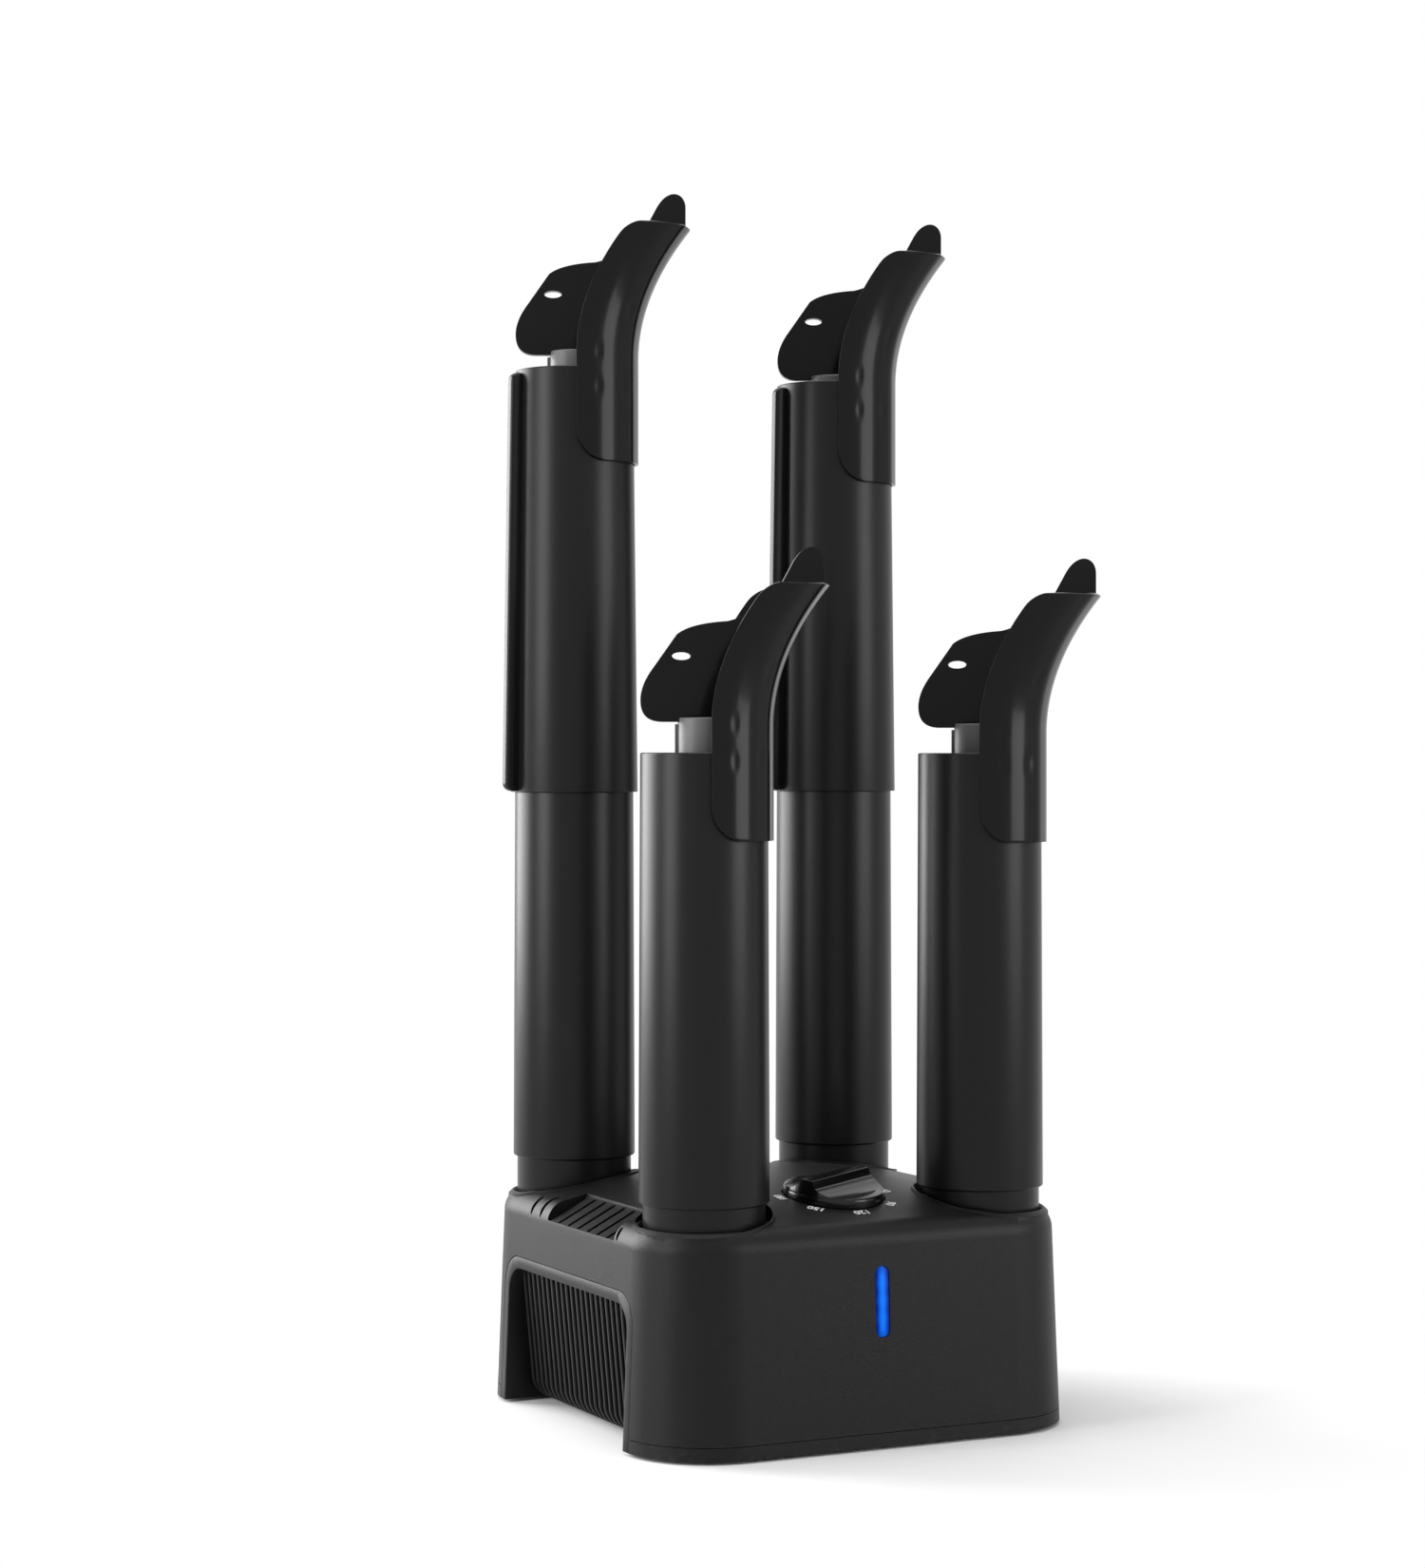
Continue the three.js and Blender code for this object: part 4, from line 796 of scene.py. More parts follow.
@dataclass(frozen=True)
class MouldedPlastic:
    """Moulded plastic with a fine grain, faint clouding and scuffs low down.

    Args:
        name: The name of the material.
        base: Its colour.
        worn: The colour of scuffs.
        roughness: Its middle roughness.
        spread: How far the roughness wanders.
        grain: Grains to the metre.
        depth: Depth of the grain in millimetres.
        coat: Weight of a clear gloss on top.
        streaks: Share of upright streaks.
        sheen: Strength of the surface's own gloss, 0.5 for common plastic.
    """

    name: str
    base: Colour
    worn: Colour
    roughness: float
    spread: float
    grain: float
    depth: float
    coat: float = 0.0
    streaks: float = 0.0
    sheen: float = 0.5

    def material(self) -> bpy.types.Material:
        """Build the material.

        Returns:
            The material.
        """
        skin = Skin(self.name)
        cloud = skin.noise(14.0, 3.0)
        smear = skin.noise(55.0, 4.0, skin.scaled(1.0, 1.0, 0.35))
        grain = skin.noise(self.grain, 2.0)
        fine = skin.noise(self.grain * 2.6, 1.0)
        _, _, z = skin.separate(skin.place)
        low = z.ramp(0.0, 0.012, 1.0, 0.0) * skin.noise(260.0, 5.0).ramp(0.52, 0.72)
        worn = (low * 0.1 + smear.ramp(0.62, 0.9) * 0.08).math("MINIMUM", 1.0)
        roughness = self.roughness + (cloud - 0.5) * self.spread + (smear - 0.5) * self.spread
        if self.streaks:
            streak = skin.noise(420.0, 3.0, skin.scaled(1.0, 1.0, 0.02))
            roughness = roughness + (streak - 0.5) * self.streaks
        skin.set(
            Base_Color=skin.blend(worn, self.base, self.worn),
            Roughness=roughness.math("MAXIMUM", 0.06),
            Normal=skin.bump(grain * 0.6 + fine * 0.4, self.depth),
            Specular_IOR_Level=self.sheen,
        )
        if self.coat:
            skin.set(Coat_Weight=self.coat, Coat_Roughness=0.08)
        return skin.material


@dataclass(frozen=True)
class Glow:
    """Clear coloured plastic, lit from behind by a row of lamps.

    Args:
        name: The name of the material.
        edge: Its colour at the ends.
        heart: Its colour in the middle.
        body: Its colour without the lamps.
        strength: How strongly it shines.
        low: Height of its lower end.
        high: Height of its upper end.
        half_width: Half its width.
    """

    name: str
    edge: Colour
    heart: Colour
    body: Colour
    strength: float
    low: float
    high: float
    half_width: float

    def material(self) -> bpy.types.Material:
        """Build the material.

        Returns:
            The material.
        """
        skin = Skin(self.name)
        x, _, z = skin.separate(skin.place)
        middle = (self.low + self.high) / 2 * MM
        half = (self.high - self.low) / 2 * MM
        away = abs(z - middle) / half
        aside = abs(x) / (self.half_width * MM)
        lamps = (z * (math.tau / (8.0 * MM))).math("SINE") * 0.06
        share = away.ramp(0.7, 1.05, 1.0, 0.3) * aside.ramp(0.0, 0.95, 1.0, 0.0) + lamps
        haze = skin.noise(700.0, 2.0)
        skin.set(
            Base_Color=skin.blend(haze, self.edge, self.body),
            Emission_Color=skin.blend(share.math("MAXIMUM", 0.0), self.edge, self.heart),
            Roughness=0.3 + haze * 0.1,
            Emission_Strength=self.strength,
            Specular_IOR_Level=0.04,
        )
        return skin.material


@dataclass(frozen=True)
class PlatedMetal:
    """Plated or drawn metal with fine brushing.

    Args:
        name: The name of the material.
        base: Its colour.
        tarnish: The colour of dull spots.
        roughness: Its middle roughness.
        brushed: Stretch of the brushing along X, Y and Z.
    """

    name: str
    base: Colour
    tarnish: Colour
    roughness: float
    brushed: tuple[float, float, float] = (1.0, 1.0, 12.0)

    def material(self) -> bpy.types.Material:
        """Build the material.

        Returns:
            The material.
        """
        skin = Skin(self.name)
        brush = skin.noise(500.0, 3.0, skin.scaled(*self.brushed))
        spots = skin.noise(120.0, 4.0).ramp(0.55, 0.8)
        skin.set(
            Base_Color=skin.blend(spots, self.base, self.tarnish),
            Roughness=self.roughness + (brush - 0.5) * 0.18 + spots * 0.12,
            Metallic=1.0,
            Normal=skin.bump(brush, 0.02),
        )
        return skin.material


@dataclass(frozen=True)
class CircuitBoard:
    """Green board with traces under the lacquer."""

    name: str
    base: Colour
    trace: Colour

    def material(self) -> bpy.types.Material:
        """Build the material.

        Returns:
            The material.
        """
        skin = Skin(self.name)
        x, _, z = skin.separate(skin.place)
        lines = (x * (math.tau / (1.6 * MM))).math("SINE").ramp(0.6, 0.75)
        ends = (z * (math.tau / (7.0 * MM))).math("SINE").ramp(-0.6, -0.4)
        skin.set(
            Base_Color=skin.blend(lines * ends, self.base, self.trace),
            Roughness=0.3 + skin.noise(300.0) * 0.12,
            Normal=skin.bump(lines * ends, 0.04),
        )
        return skin.material


GREY_SCUFF = (0.09, 0.09, 0.092)
DARK_SCUFF = (0.03, 0.03, 0.03)


@dataclass
class Paints:
    """All the finishes of the dryer, built once."""

    case: bpy.types.Material = field(init=False)
    tube: bpy.types.Material = field(init=False)
    head: bpy.types.Material = field(init=False)
    knob: bpy.types.Material = field(init=False)
    inner: bpy.types.Material = field(init=False)
    stem: bpy.types.Material = field(init=False)
    nylon: bpy.types.Material = field(init=False)
    rubber: bpy.types.Material = field(init=False)
    mica: bpy.types.Material = field(init=False)
    numeral: bpy.types.Material = field(init=False)
    light: bpy.types.Material = field(init=False)
    steel: bpy.types.Material = field(init=False)
    alloy: bpy.types.Material = field(init=False)
    board: bpy.types.Material = field(init=False)

    def __post_init__(self) -> None:
        """Build every material."""
        self.case = MouldedPlastic(
            "Textured_case_black", (0.006, 0.006, 0.0062), GREY_SCUFF, 0.4, 0.06, 1500.0, 0.12,
            sheen=0.15,
        ).material()
        self.tube = MouldedPlastic(
            "Satin_tube_black", (0.006, 0.006, 0.0063), GREY_SCUFF, 0.32, 0.05, 2200.0, 0.03,
            streaks=0.05, sheen=0.17,
        ).material()
        self.head = MouldedPlastic(
            "Gloss_head_black", (0.0055, 0.0055, 0.006), DARK_SCUFF, 0.2, 0.07, 1800.0, 0.012,
            coat=0.06, sheen=0.1,
        ).material()
        self.knob = MouldedPlastic(
            "Gloss_knob_black", (0.004, 0.004, 0.0045), DARK_SCUFF, 0.17, 0.06, 1800.0, 0.012,
            coat=0.18, sheen=0.2,
        ).material()
        self.inner = MouldedPlastic(
            "Inner_grey_plastic", (0.045, 0.045, 0.048), (0.12, 0.12, 0.12), 0.5, 0.08, 900.0, 0.08
        ).material()
        self.stem = MouldedPlastic(
            "Grey_stem_plastic", (0.13, 0.13, 0.132), (0.2, 0.2, 0.2), 0.46, 0.06, 1200.0, 0.04,
            streaks=0.05, sheen=0.3,
        ).material()
        self.nylon = MouldedPlastic(
            "White_nylon", (0.72, 0.71, 0.67), (0.6, 0.58, 0.53), 0.42, 0.06, 900.0, 0.04
        ).material()
        self.rubber = MouldedPlastic(
            "Dull_rubber", (0.012, 0.012, 0.012), (0.06, 0.058, 0.055), 0.82, 0.08, 1100.0, 0.12
        ).material()
        self.mica = MouldedPlastic(
            "Heat_board", (0.46, 0.38, 0.27), (0.6, 0.52, 0.4), 0.7, 0.1, 350.0, 0.1
        ).material()
        self.numeral = MouldedPlastic(
            "White_dial_paint", (0.8, 0.8, 0.8), (0.6, 0.6, 0.6), 0.5, 0.05, 1500.0, 0.02
        ).material()
        self.light = Glow(
            "Blue_light_pipe",
            edge=(0.0, 0.008, 0.17),
            heart=(0.004, 0.19, 0.93),
            body=(0.0, 0.01, 0.06),
            strength=1.0,
            low=LightBar.low,
            high=LightBar.low + LightBar.height,
            half_width=LightBar.width / 2,
        ).material()
        self.steel = PlatedMetal(
            "Plated_steel", (0.62, 0.62, 0.63), (0.4, 0.39, 0.37), 0.3
        ).material()
        self.alloy = PlatedMetal(
            "Pressed_aluminium", (0.78, 0.79, 0.8), (0.55, 0.54, 0.52), 0.32, (1.0, 12.0, 1.0)
        ).material()
        self.board = CircuitBoard("Green_board", (0.01, 0.11, 0.045), (0.03, 0.2, 0.09)).material()


def shown(
    thing: bpy.types.Object,
    finish: bpy.types.Material,
    body: str,
    slot: str,
    *nodes: str,
) -> bpy.types.Object:
    """Dress a finished piece and fix it to its CAD body.

    Args:
        thing: The piece.
        finish: Its material.
        body: The CAD body that it moves with.
        slot: The record's material slot; not used.
        nodes: CAD nodes that it stands for.

    Returns:
        The piece.
    """
    thing.data.materials.clear()
    thing.data.materials.append(finish)
    for name in [a.name for a in thing.data.attributes if a.name in ("far", "reach")]:
        thing.data.attributes.remove(thing.data.attributes[name])
    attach(thing, body)
    if nodes:
        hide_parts(*nodes)
    thing.data.calc_loop_triangles()
    LOG.info("%s rides on %s with %d triangles", thing.name, body, len(thing.data.loop_triangles))
    return thing


# The case


@dataclass
class CaseForm:
    """The rounded square that the case is made from, with drafted walls, a shoulder and a crown."""

    half: float = 112.0
    corner: float = 42.0
    wall_height: float = 91.0
    draft: float = 3.6
    shoulder: float = 11.0
    crown_rise: float = 10.5
    crown_power: float = 2.5
    squareness: float = 0.72
    wall: float = 2.6

    @property
    def plateau(self) -> float:
        """Half width where the shoulder ends."""
        return self.half - self.draft - self.shoulder

    def half_at(self, z: float) -> float:
        """Half width of the drafted wall at a height."""
        return self.half - self.draft * min(z, self.wall_height) / self.wall_height

    def crown_height(self, half: float) -> float:
        """Height of the crown on the ring of that half width."""
        share = min(1.0, half / self.plateau)
        return self.wall_height + self.shoulder + self.crown_rise * (1 - share**self.crown_power)

    def ring(self, half: float, radius: float, z: float) -> list[tuple[float, float, float]]:
        """A level rounded square.

        Args:
            half: Its half width.
            radius: Its corner radius.
            z: Its height.

        Returns:
            Its corners, in order.
        """
        points = []
        centre = half - radius
        arc, side = 14, 10
        for corner in range(4):
            start = corner * math.pi / 2
            cx = centre * math.copysign(1, math.cos(start + math.pi / 4))
            cy = centre * math.copysign(1, math.sin(start + math.pi / 4))
            for step in range(arc + 1):
                angle = start + step / arc * math.pi / 2
                points.append((cx + radius * math.cos(angle), cy + radius * math.sin(angle), z))
            last = points[-1]
            turn = start + math.pi / 2
            run = (math.cos(turn + math.pi / 2), math.sin(turn + math.pi / 2))
            for step in range(1, side):
                reach = 2 * centre * step / side
                points.append((last[0] + run[0] * reach, last[1] + run[1] * reach, z))
        return points

    def skin(self, name: str, inset: float = 0.0, bottom: float = 0.0) -> bpy.types.Object:
        """The closed outer skin, or with an inset that of the hollow.

        Args:
            name: The name of the object.
            inset: How far inside the outer skin it lies.
            bottom: Its lowest height.

        Returns:
            The solid.
        """
        drawn = self.corner - self.half
        rings = [
            self.ring(self.half_at(bottom) - inset, drawn + self.half_at(bottom) - inset, bottom)
        ]
        for z in (TrayForm.height, 30.0, 58.0):
            half = self.half_at(z) - inset
            rings.append(self.ring(half, drawn + half, z))
        reach = self.shoulder - inset
        for step in range(11):
            angle = math.radians(82 * step / 10)
            half = self.plateau + reach * math.cos(angle)
            rings.append(self.ring(half, drawn + half, self.wall_height + reach * math.sin(angle)))
        for share in (0.965, 0.92, 0.87, 0.81, 0.74, 0.66, 0.57, 0.48, 0.39, 0.3, 0.21, 0.12, 0.04):
            half = self.plateau * share
            height = self.crown_height(half) - inset
            rings.append(self.ring(half, half * (1 - self.squareness * share), height))
        return lofted(name, rings)


@dataclass
class TrayForm:
    """Sizes of the base tray that other pieces share."""

    height: float = 6.0
    floor: float = 2.5
    lip: float = 5.0
    lip_wall: float = 1.8


TUBE_HALF = 73.0
MIRROR = Matrix.Diagonal((-1.0, 1.0, 1.0, 1.0))
CORNERS = {
    "front_left": (-1, -1),
    "front_right": (1, -1),
    "rear_left": (-1, 1),
    "rear_right": (1, 1),
}


def to_corner(name: str, z: float = 0.0) -> Matrix:
    """A move from the middle of the case to a tube's axis."""
    sx, sy = CORNERS[name]
    return shift(sx * TUBE_HALF, sy * TUBE_HALF, z)


@dataclass
class SideArch:
    """The arch in each side wall, with its frame and upright slats."""

    half_width: float = 74.0
    height: float = 71.0
    corner: float = 15.0
    frame: float = 5.5
    slats: int = 24
    slat: float = 2.4
    slat_depth: float = 5.0
    recess_top: float = 5.0
    recess_low: float = 13.0
    foot_radius: float = 12.0
    bar: float = 4.0
    edge: float = 0.25
    form: CaseForm = field(default_factory=CaseForm)

    @property
    def foot_x(self) -> float:
        """Where the slats' curved feet end, from the middle of the case."""
        return self.form.half - self.recess_low - self.foot_radius

    def outline(self, grow: float, foot: float, corner: float) -> list[Point]:
        """The arch in the YZ plane.

        Args:
            grow: How far outside the arch's own outline.
            foot: Its lowest height.
            corner: Its corner radius.

        Returns:
            Its points.
        """
        half, top = self.half_width + grow, self.height + grow
        corners = [(-half, foot, 0), (half, foot, 0), (half, top, corner), (-half, top, corner)]
        return filleted(corners, 10)

    def cutter(self, side: int, grow: float = GAP) -> bpy.types.Object:
        """The pocket under one side arch.

        Args:
            side: -1 for left, 1 for right.
            grow: Clearance round the arch.

        Returns:
            The cutter.
        """
        inner = self.foot_x - self.slat_depth - grow
        outline = self.outline(grow, -1.0, self.corner)
        low, high = sorted((side * inner, side * (self.form.half + 5)))
        return drawn_out("pocket", outline, low, high, Axis.X)

    def slat_outline(self) -> list[Point]:
        """One slat from the side: it leans in and turns under at its foot.

        Returns:
            Its points in the XZ plane, for the right side.
        """
        top_z = self.height - self.frame / 2
        top_x = self.form.half_at(top_z) - self.recess_top
        low_x = self.form.half - self.recess_low
        radius = self.foot_radius
        points = [(top_x, top_z), (low_x, radius)]
        for step in range(1, 13):
            angle = -math.pi / 2 * step / 12
            points.append(
                (low_x - radius + radius * math.cos(angle), radius + radius * math.sin(angle))
            )
        inner = self.foot_x - self.slat_depth
        points += [(inner, 0.0), (inner, self.slat_depth), (self.foot_x, self.slat_depth)]
        inside = radius - self.slat_depth
        for step in range(11, -1, -1):
            angle = -math.pi / 2 * step / 12
            points.append(
                (low_x - radius + inside * math.cos(angle), radius + inside * math.sin(angle))
            )
        points.append((top_x - self.slat_depth, top_z))
        return points

    def behind(self) -> bpy.types.Object:
        """What lies behind the slats, cut off the arch frame.

        Returns:
            The solid.
        """
        top_x = self.form.half_at(self.height) - self.recess_top - self.slat_depth
        low_x = self.form.half - self.recess_low - self.slat_depth
        outline = [
            (0.0, self.height + 5),
            (0.0, self.slat_depth),
            (self.foot_x, self.slat_depth),
            (low_x, self.foot_radius),
            (top_x, self.height + 5),
        ]
        return drawn_out("behind", outline, -FAR, FAR, Axis.Y)

    def build(self, side: int, name: str, finish: bpy.types.Material) -> bpy.types.Object:
        """Build one grille.

        Args:
            side: -1 for left, 1 for right.
            name: The CAD node that it stands for.
            finish: Its material.

        Returns:
            The piece.
        """
        inner = self.foot_x - self.slat_depth
        opening = self.half_width - self.frame
        outer = drawn_out(
            "arch", self.outline(0.0, 0.0, self.corner), inner, self.form.half + 5, Axis.X
        )
        gap_outline = filleted(
            [
                (-opening, -5, 0),
                (opening, -5, 0),
                (opening, self.height - self.frame, self.corner - self.frame / 2),
                (-opening, self.height - self.frame, self.corner - self.frame / 2),
            ],
            10,
        )
        gap = drawn_out("gap", gap_outline, inner - 5, self.form.half + 10, Axis.X)
        worked(outer, [gap, self.behind()], Operation.CUT)
        worked(outer, [self.form.skin("whole")], Operation.KEEP)
        eased(outer, self.edge, 2)
        bar = block(
            "bar", (inner, -opening - 1, 0), (inner + self.bar, opening + 1, self.slat_depth)
        )
        slat = drawn_out("slat", self.slat_outline(), -self.slat / 2, self.slat / 2, Axis.Y)
        eased(slat, 0.8, 3, 60)
        pitch = 2 * opening / self.slats
        repeated_along_y().run(slat, Count=self.slats, Pitch=pitch * MM, Finish=finish)
        whole = joined(name + "_look", [outer, eased(bar, 0.4, 2), slat])
        if side < 0:
            placed(whole, spin(180))
        return shown(whole, finish, "case", "case_black", name)


def joined(name: str, things: Sequence[bpy.types.Object]) -> bpy.types.Object:
    """Put several meshes into one object without working them together.

    Args:
        name: The name of the object.
        things: The objects, which are used up.

    Returns:
        The object.
    """
    work = bmesh.new()
    for thing in things:
        work.from_mesh(thing.data)
    mesh = bpy.data.meshes.new(name)
    work.to_mesh(mesh)
    work.free()
    for thing in things:
        bpy.data.objects.remove(thing)
    return smoothed(linked(name, mesh))


@dataclass
class TopHousing:
    """The moulded case: crown, tube sockets, louvres, side arches and dial pad."""

    form: CaseForm = field(default_factory=CaseForm)
    arch: SideArch = field(default_factory=SideArch)
    bore_gap: float = 0.5
    socket_wall: float = 3.9
    socket_rim: float = 101.0
    socket_bead: float = 1.0
    socket_flare: float = 2.8
    web_reach: float = 10.0
    web_width: float = 10.0
    seat_width: float = 7.5
    seat_top: float = 76.7
    seat_bottom: float = 74.4
    louvres: int = 10
    louvre_first: float = -53.7
    louvre_pitch: float = 11.0
    louvre_width: float = 3.0
    louvre_outer: float = 108.2
    louvre_inner: float = 87.6
    louvre_low: float = 92.6
    louvre_high: float = 103.4
    louvre_ends: dict[int, float] = field(
        default_factory=lambda: {0: 104.7, 1: 93.8, 8: 96.9, 9: 100.6}
    )
    panel: Point = (-51.0, 25.0)
    blade: float = 2.4
    edge: float = 0.4

    @property
    def bore(self) -> float:
        """Radius of a tube socket."""
        return AirTube.spigot + self.bore_gap

    @property
    def socket_radius(self) -> float:
        """Outer radius of a socket's wall."""
        return self.bore + self.socket_wall

    def louvre_slots(self) -> bpy.types.Object:
        """The cutters of the right side's open slots.

        Returns:
            The cutters, as one mesh.
        """
        starts = []
        reaches = []
        low, high = self.form.wall_height + 1.6, self.form.crown_height(0)
        for index in range(self.louvres):
            inner = self.louvre_ends.get(index, self.louvre_inner)
            y = self.louvre_first + index * self.louvre_pitch
            starts.append((inner + self.louvre_width / 2, y, (low + high) / 2))
            reaches.append(max(0.1, self.louvre_outer - inner - self.louvre_width) * MM)
        mesh = bpy.data.meshes.new("louvres")
        mesh.from_pydata([Vector(v) * MM for v in starts], [], [])
        mesh.attributes.new("reach", "FLOAT", "POINT").data.foreach_set("value", reaches)
        slots = linked("louvres", mesh)
        stadium_slots().run(slots, Width=self.louvre_width * MM, Height=(high - low) * MM)
        return slots

    def ramp(self, name: str, sink: float, y: Point) -> bpy.types.Object:
        """What lies above the louvres' sloping floor on the right side.

        Args:
            name: The name of the object.
            sink: How far below the floor it starts.
            y: Its ends along Y.

        Returns:
            The solid.
        """
        outline = [
            (self.louvre_outer + 0.4, self.louvre_low - sink),
            (self.louvre_outer + 8, self.louvre_low - sink + 4),
            (self.louvre_outer + 8, 130.0),
            (self.louvre_inner, 130.0),
            (self.louvre_inner, self.louvre_high - sink),
        ]
        return drawn_out(name, outline, *y, Axis.Y)

    def pocket(self) -> bpy.types.Object:
        """The pocket over the right side's sloping blades, clear of the front socket.

        Returns:
            The cutter.
        """
        clear = pin("clear", self.socket_radius + self.socket_bead, 0, FAR)
        placed(clear, to_corner("front_right"))
        return worked(self.ramp("pocket", 0.0, self.panel), [clear], Operation.CUT)

    def backing(self) -> bpy.types.Object:
        """The wall behind the right side's blades.

        Returns:
            The wall.
        """
        low, high = self.panel
        whole = self.ramp("backing", self.blade, (low - self.blade, high + self.blade))
        return worked(whole, [self.form.skin("whole")], Operation.KEEP)

    def throat(self) -> bpy.types.Object:
        """What is cut out of one socket: the bore with a flared mouth, and the hole in its seat.

        Returns:
            The cutter, about its own axis.
        """
        rim, flare = self.socket_rim, self.socket_flare
        mouth = [(self.bore, rim - 2 * flare - 1)]
        for step in range(1, 9):
            angle = math.pi / 2 * step / 8
            radius = self.bore + flare * (1 - math.cos(angle))
            mouth.append((radius, rim - 2 * flare + 2 * flare * math.sin(angle)))
        hole = self.bore - self.seat_width
        low, seat = self.seat_bottom - OVER, self.seat_top
        profile = [(0, low), (hole, low), (hole, seat), (self.bore, seat), *mouth]
        profile += [(self.bore + flare, rim + 20), (0, rim + 20)]
        return turned("throat", profile)

    def build(
        self, dial: "TimerDial", bar: "LightBar", gland: "CordGland", finish: bpy.types.Material
    ) -> bpy.types.Object:
        """Build the housing.

        Args:
            dial: The timer, for its pad and shaft hole.
            bar: The light bar, for its slot.
            gland: The cord gland, for its hole.
            finish: The material.

        Returns:
            The piece.
        """
        housing = self.form.skin("top_housing_look")
        bottom = TrayForm.height + GAP
        hollow = self.form.skin("hollow", self.form.wall, -1.0)
        worked(housing, [hollow, slab("under", -OVER, bottom)], Operation.CUT)
        whole = []
        low, high = self.seat_bottom, self.form.crown_height(0)
        outer, half = self.socket_radius + self.web_reach, self.web_width / 2
        for name, (sx, sy) in CORNERS.items():
            sleeve = placed(pin("sleeve", self.socket_radius, low, high), to_corner(name))
            whole.append(
                worked(sleeve, [self.form.skin("bead", -self.socket_bead)], Operation.KEEP)
            )
            web = block("web", (self.bore, -half, low), (outer, half, self.form.wall_height))
            placed(web, spin(math.degrees(math.atan2(sy, sx))), to_corner(name))
            whole.append(worked(web, [self.form.skin("whole")], Operation.KEEP))
        backing = self.backing()
        whole += [backing, placed(copied(backing, "backing_left"), MIRROR), dial.pad()]
        worked(housing, whole, Operation.JOIN)
        tools = [placed(self.throat(), to_corner(name)) for name in CORNERS]
        tools += [self.arch.cutter(-1), self.arch.cutter(1)]
        right = [self.louvre_slots(), self.pocket()]
        tools += right + [placed(copied(tool, "left"), MIRROR) for tool in right]
        tools += [bar.slot(), dial.well(), dial.shaft_hole(), gland.hole()]
        worked(housing, tools, Operation.CUT)
        evened(eased(housing, self.edge, 2, 38))
        return shown(housing, finish, "case", "case_black", "top_housing")


@dataclass
class BaseTray:
    """The shallow tray under the case: its rim shows as a band below the seam."""

    form: CaseForm = field(default_factory=CaseForm)
    arch: SideArch = field(default_factory=SideArch)
    tray: TrayForm = field(default_factory=TrayForm)
    foot_place: Point = (66.0, 93.0)
    screw_place: Point = (93.5, 93.0)
    screw_step: float = 4.0
    screw_top: float = 12.0
    recess_depth: float = 1.5
    edge: float = 0.6

    def at_corners(self, thing: bpy.types.Object, place: Point) -> bpy.types.Object:
        """Repeat a small solid at the four corners."""
        return repeated_at_corners().run(thing, Width=2 * place[0] * MM, Depth=2 * place[1] * MM)

    def build(self, finish: bpy.types.Material) -> bpy.types.Object:
        """Build the tray.

        Args:
            finish: Its material.

        Returns:
            The piece.
        """
        tray = self.form.skin("base_tray_look")
        worked(tray, [slab("band", -1.0, self.tray.height + self.tray.lip)], Operation.KEEP)
        inside = self.form.wall + GAP
        outside = self.form.skin("outside", -3.0, -OVER)
        inner = self.form.skin("inside", inside, -OVER - 1)
        worked(outside, [inner, slab("low", -2 * OVER, self.tray.height)], Operation.CUT)
        hollow = self.form.skin("hollow", inside + self.tray.lip_wall, -1.0)
        worked(hollow, [slab("floor", -OVER, self.tray.floor)], Operation.CUT)
        head, shank = SmallParts.screw_head + 0.5, SmallParts.screw_radius + GAP
        step, top = self.screw_step, self.screw_top
        profile = [(0, -1), (head, -1), (head, step), (shank, step), (shank, top), (0, top)]
        screw = turned("screw_hole", profile, 24)
        recess = pin("foot_recess", SmallParts.foot_radius + GAP, -1, self.recess_depth, 40)
        tools = [outside, hollow, self.arch.cutter(-1), self.arch.cutter(1)]
        tools += [
            self.at_corners(screw, self.screw_place), self.at_corners(recess, self.foot_place)
        ]
        worked(tray, tools, Operation.CUT)
        evened(eased(tray, self.edge, 2))
        return shown(tray, finish, "case", "case_black", "base_tray")


@dataclass
class LightBar:
    """The blue light bar in the front wall."""

    width: float = 6.8
    low: float = 49.5
    height: float = 32.0
    flange: float = 1.8
    round_share: float = 0.98
    form: CaseForm = field(default_factory=CaseForm)

    def bar(self, name: str, grow: float, near: float, far: float) -> bpy.types.Object:
        """A round-ended bar along Y.

        Args:
            name: The name of the object.
            grow: How far outside the bar's own outline.
            near: Its lowest Y.
            far: Its highest Y.

        Returns:
            The solid.
        """
        half = self.width / 2 + grow
        low, high = self.low - grow, self.low + self.height + grow
        places = [(-half, low), (half, low), (half, high), (-half, high)]
        corners = [(x, z, half * self.round_share) for x, z in places]
        return drawn_out(name, filleted(corners, 9), near, far, Axis.Y)

    def slot(self) -> bpy.types.Object:
        """The cutter of its slot in the wall."""
        return self.bar("slot", GAP, -self.form.half - 2, -self.form.half + 12)

    def build(self, finish: bpy.types.Material) -> bpy.types.Object:
        """Build the light pipe.

        Args:
            finish: Its material.

        Returns:
            The piece.
        """
        front = -(self.form.half_at(self.low + self.height) - self.form.wall - 0.6)
        pipe = self.bar("light_pipe_look", 0.0, -self.form.half - 5, front + self.flange)
        worked(pipe, [self.form.skin("whole", 0.1)], Operation.KEEP)
        worked(pipe, [self.bar("flange", 1.6, front, front + self.flange)], Operation.JOIN)
        eased(pipe, 0.5, 3)
        return shown(pipe, finish, "case", "light_blue", "light_pipe")


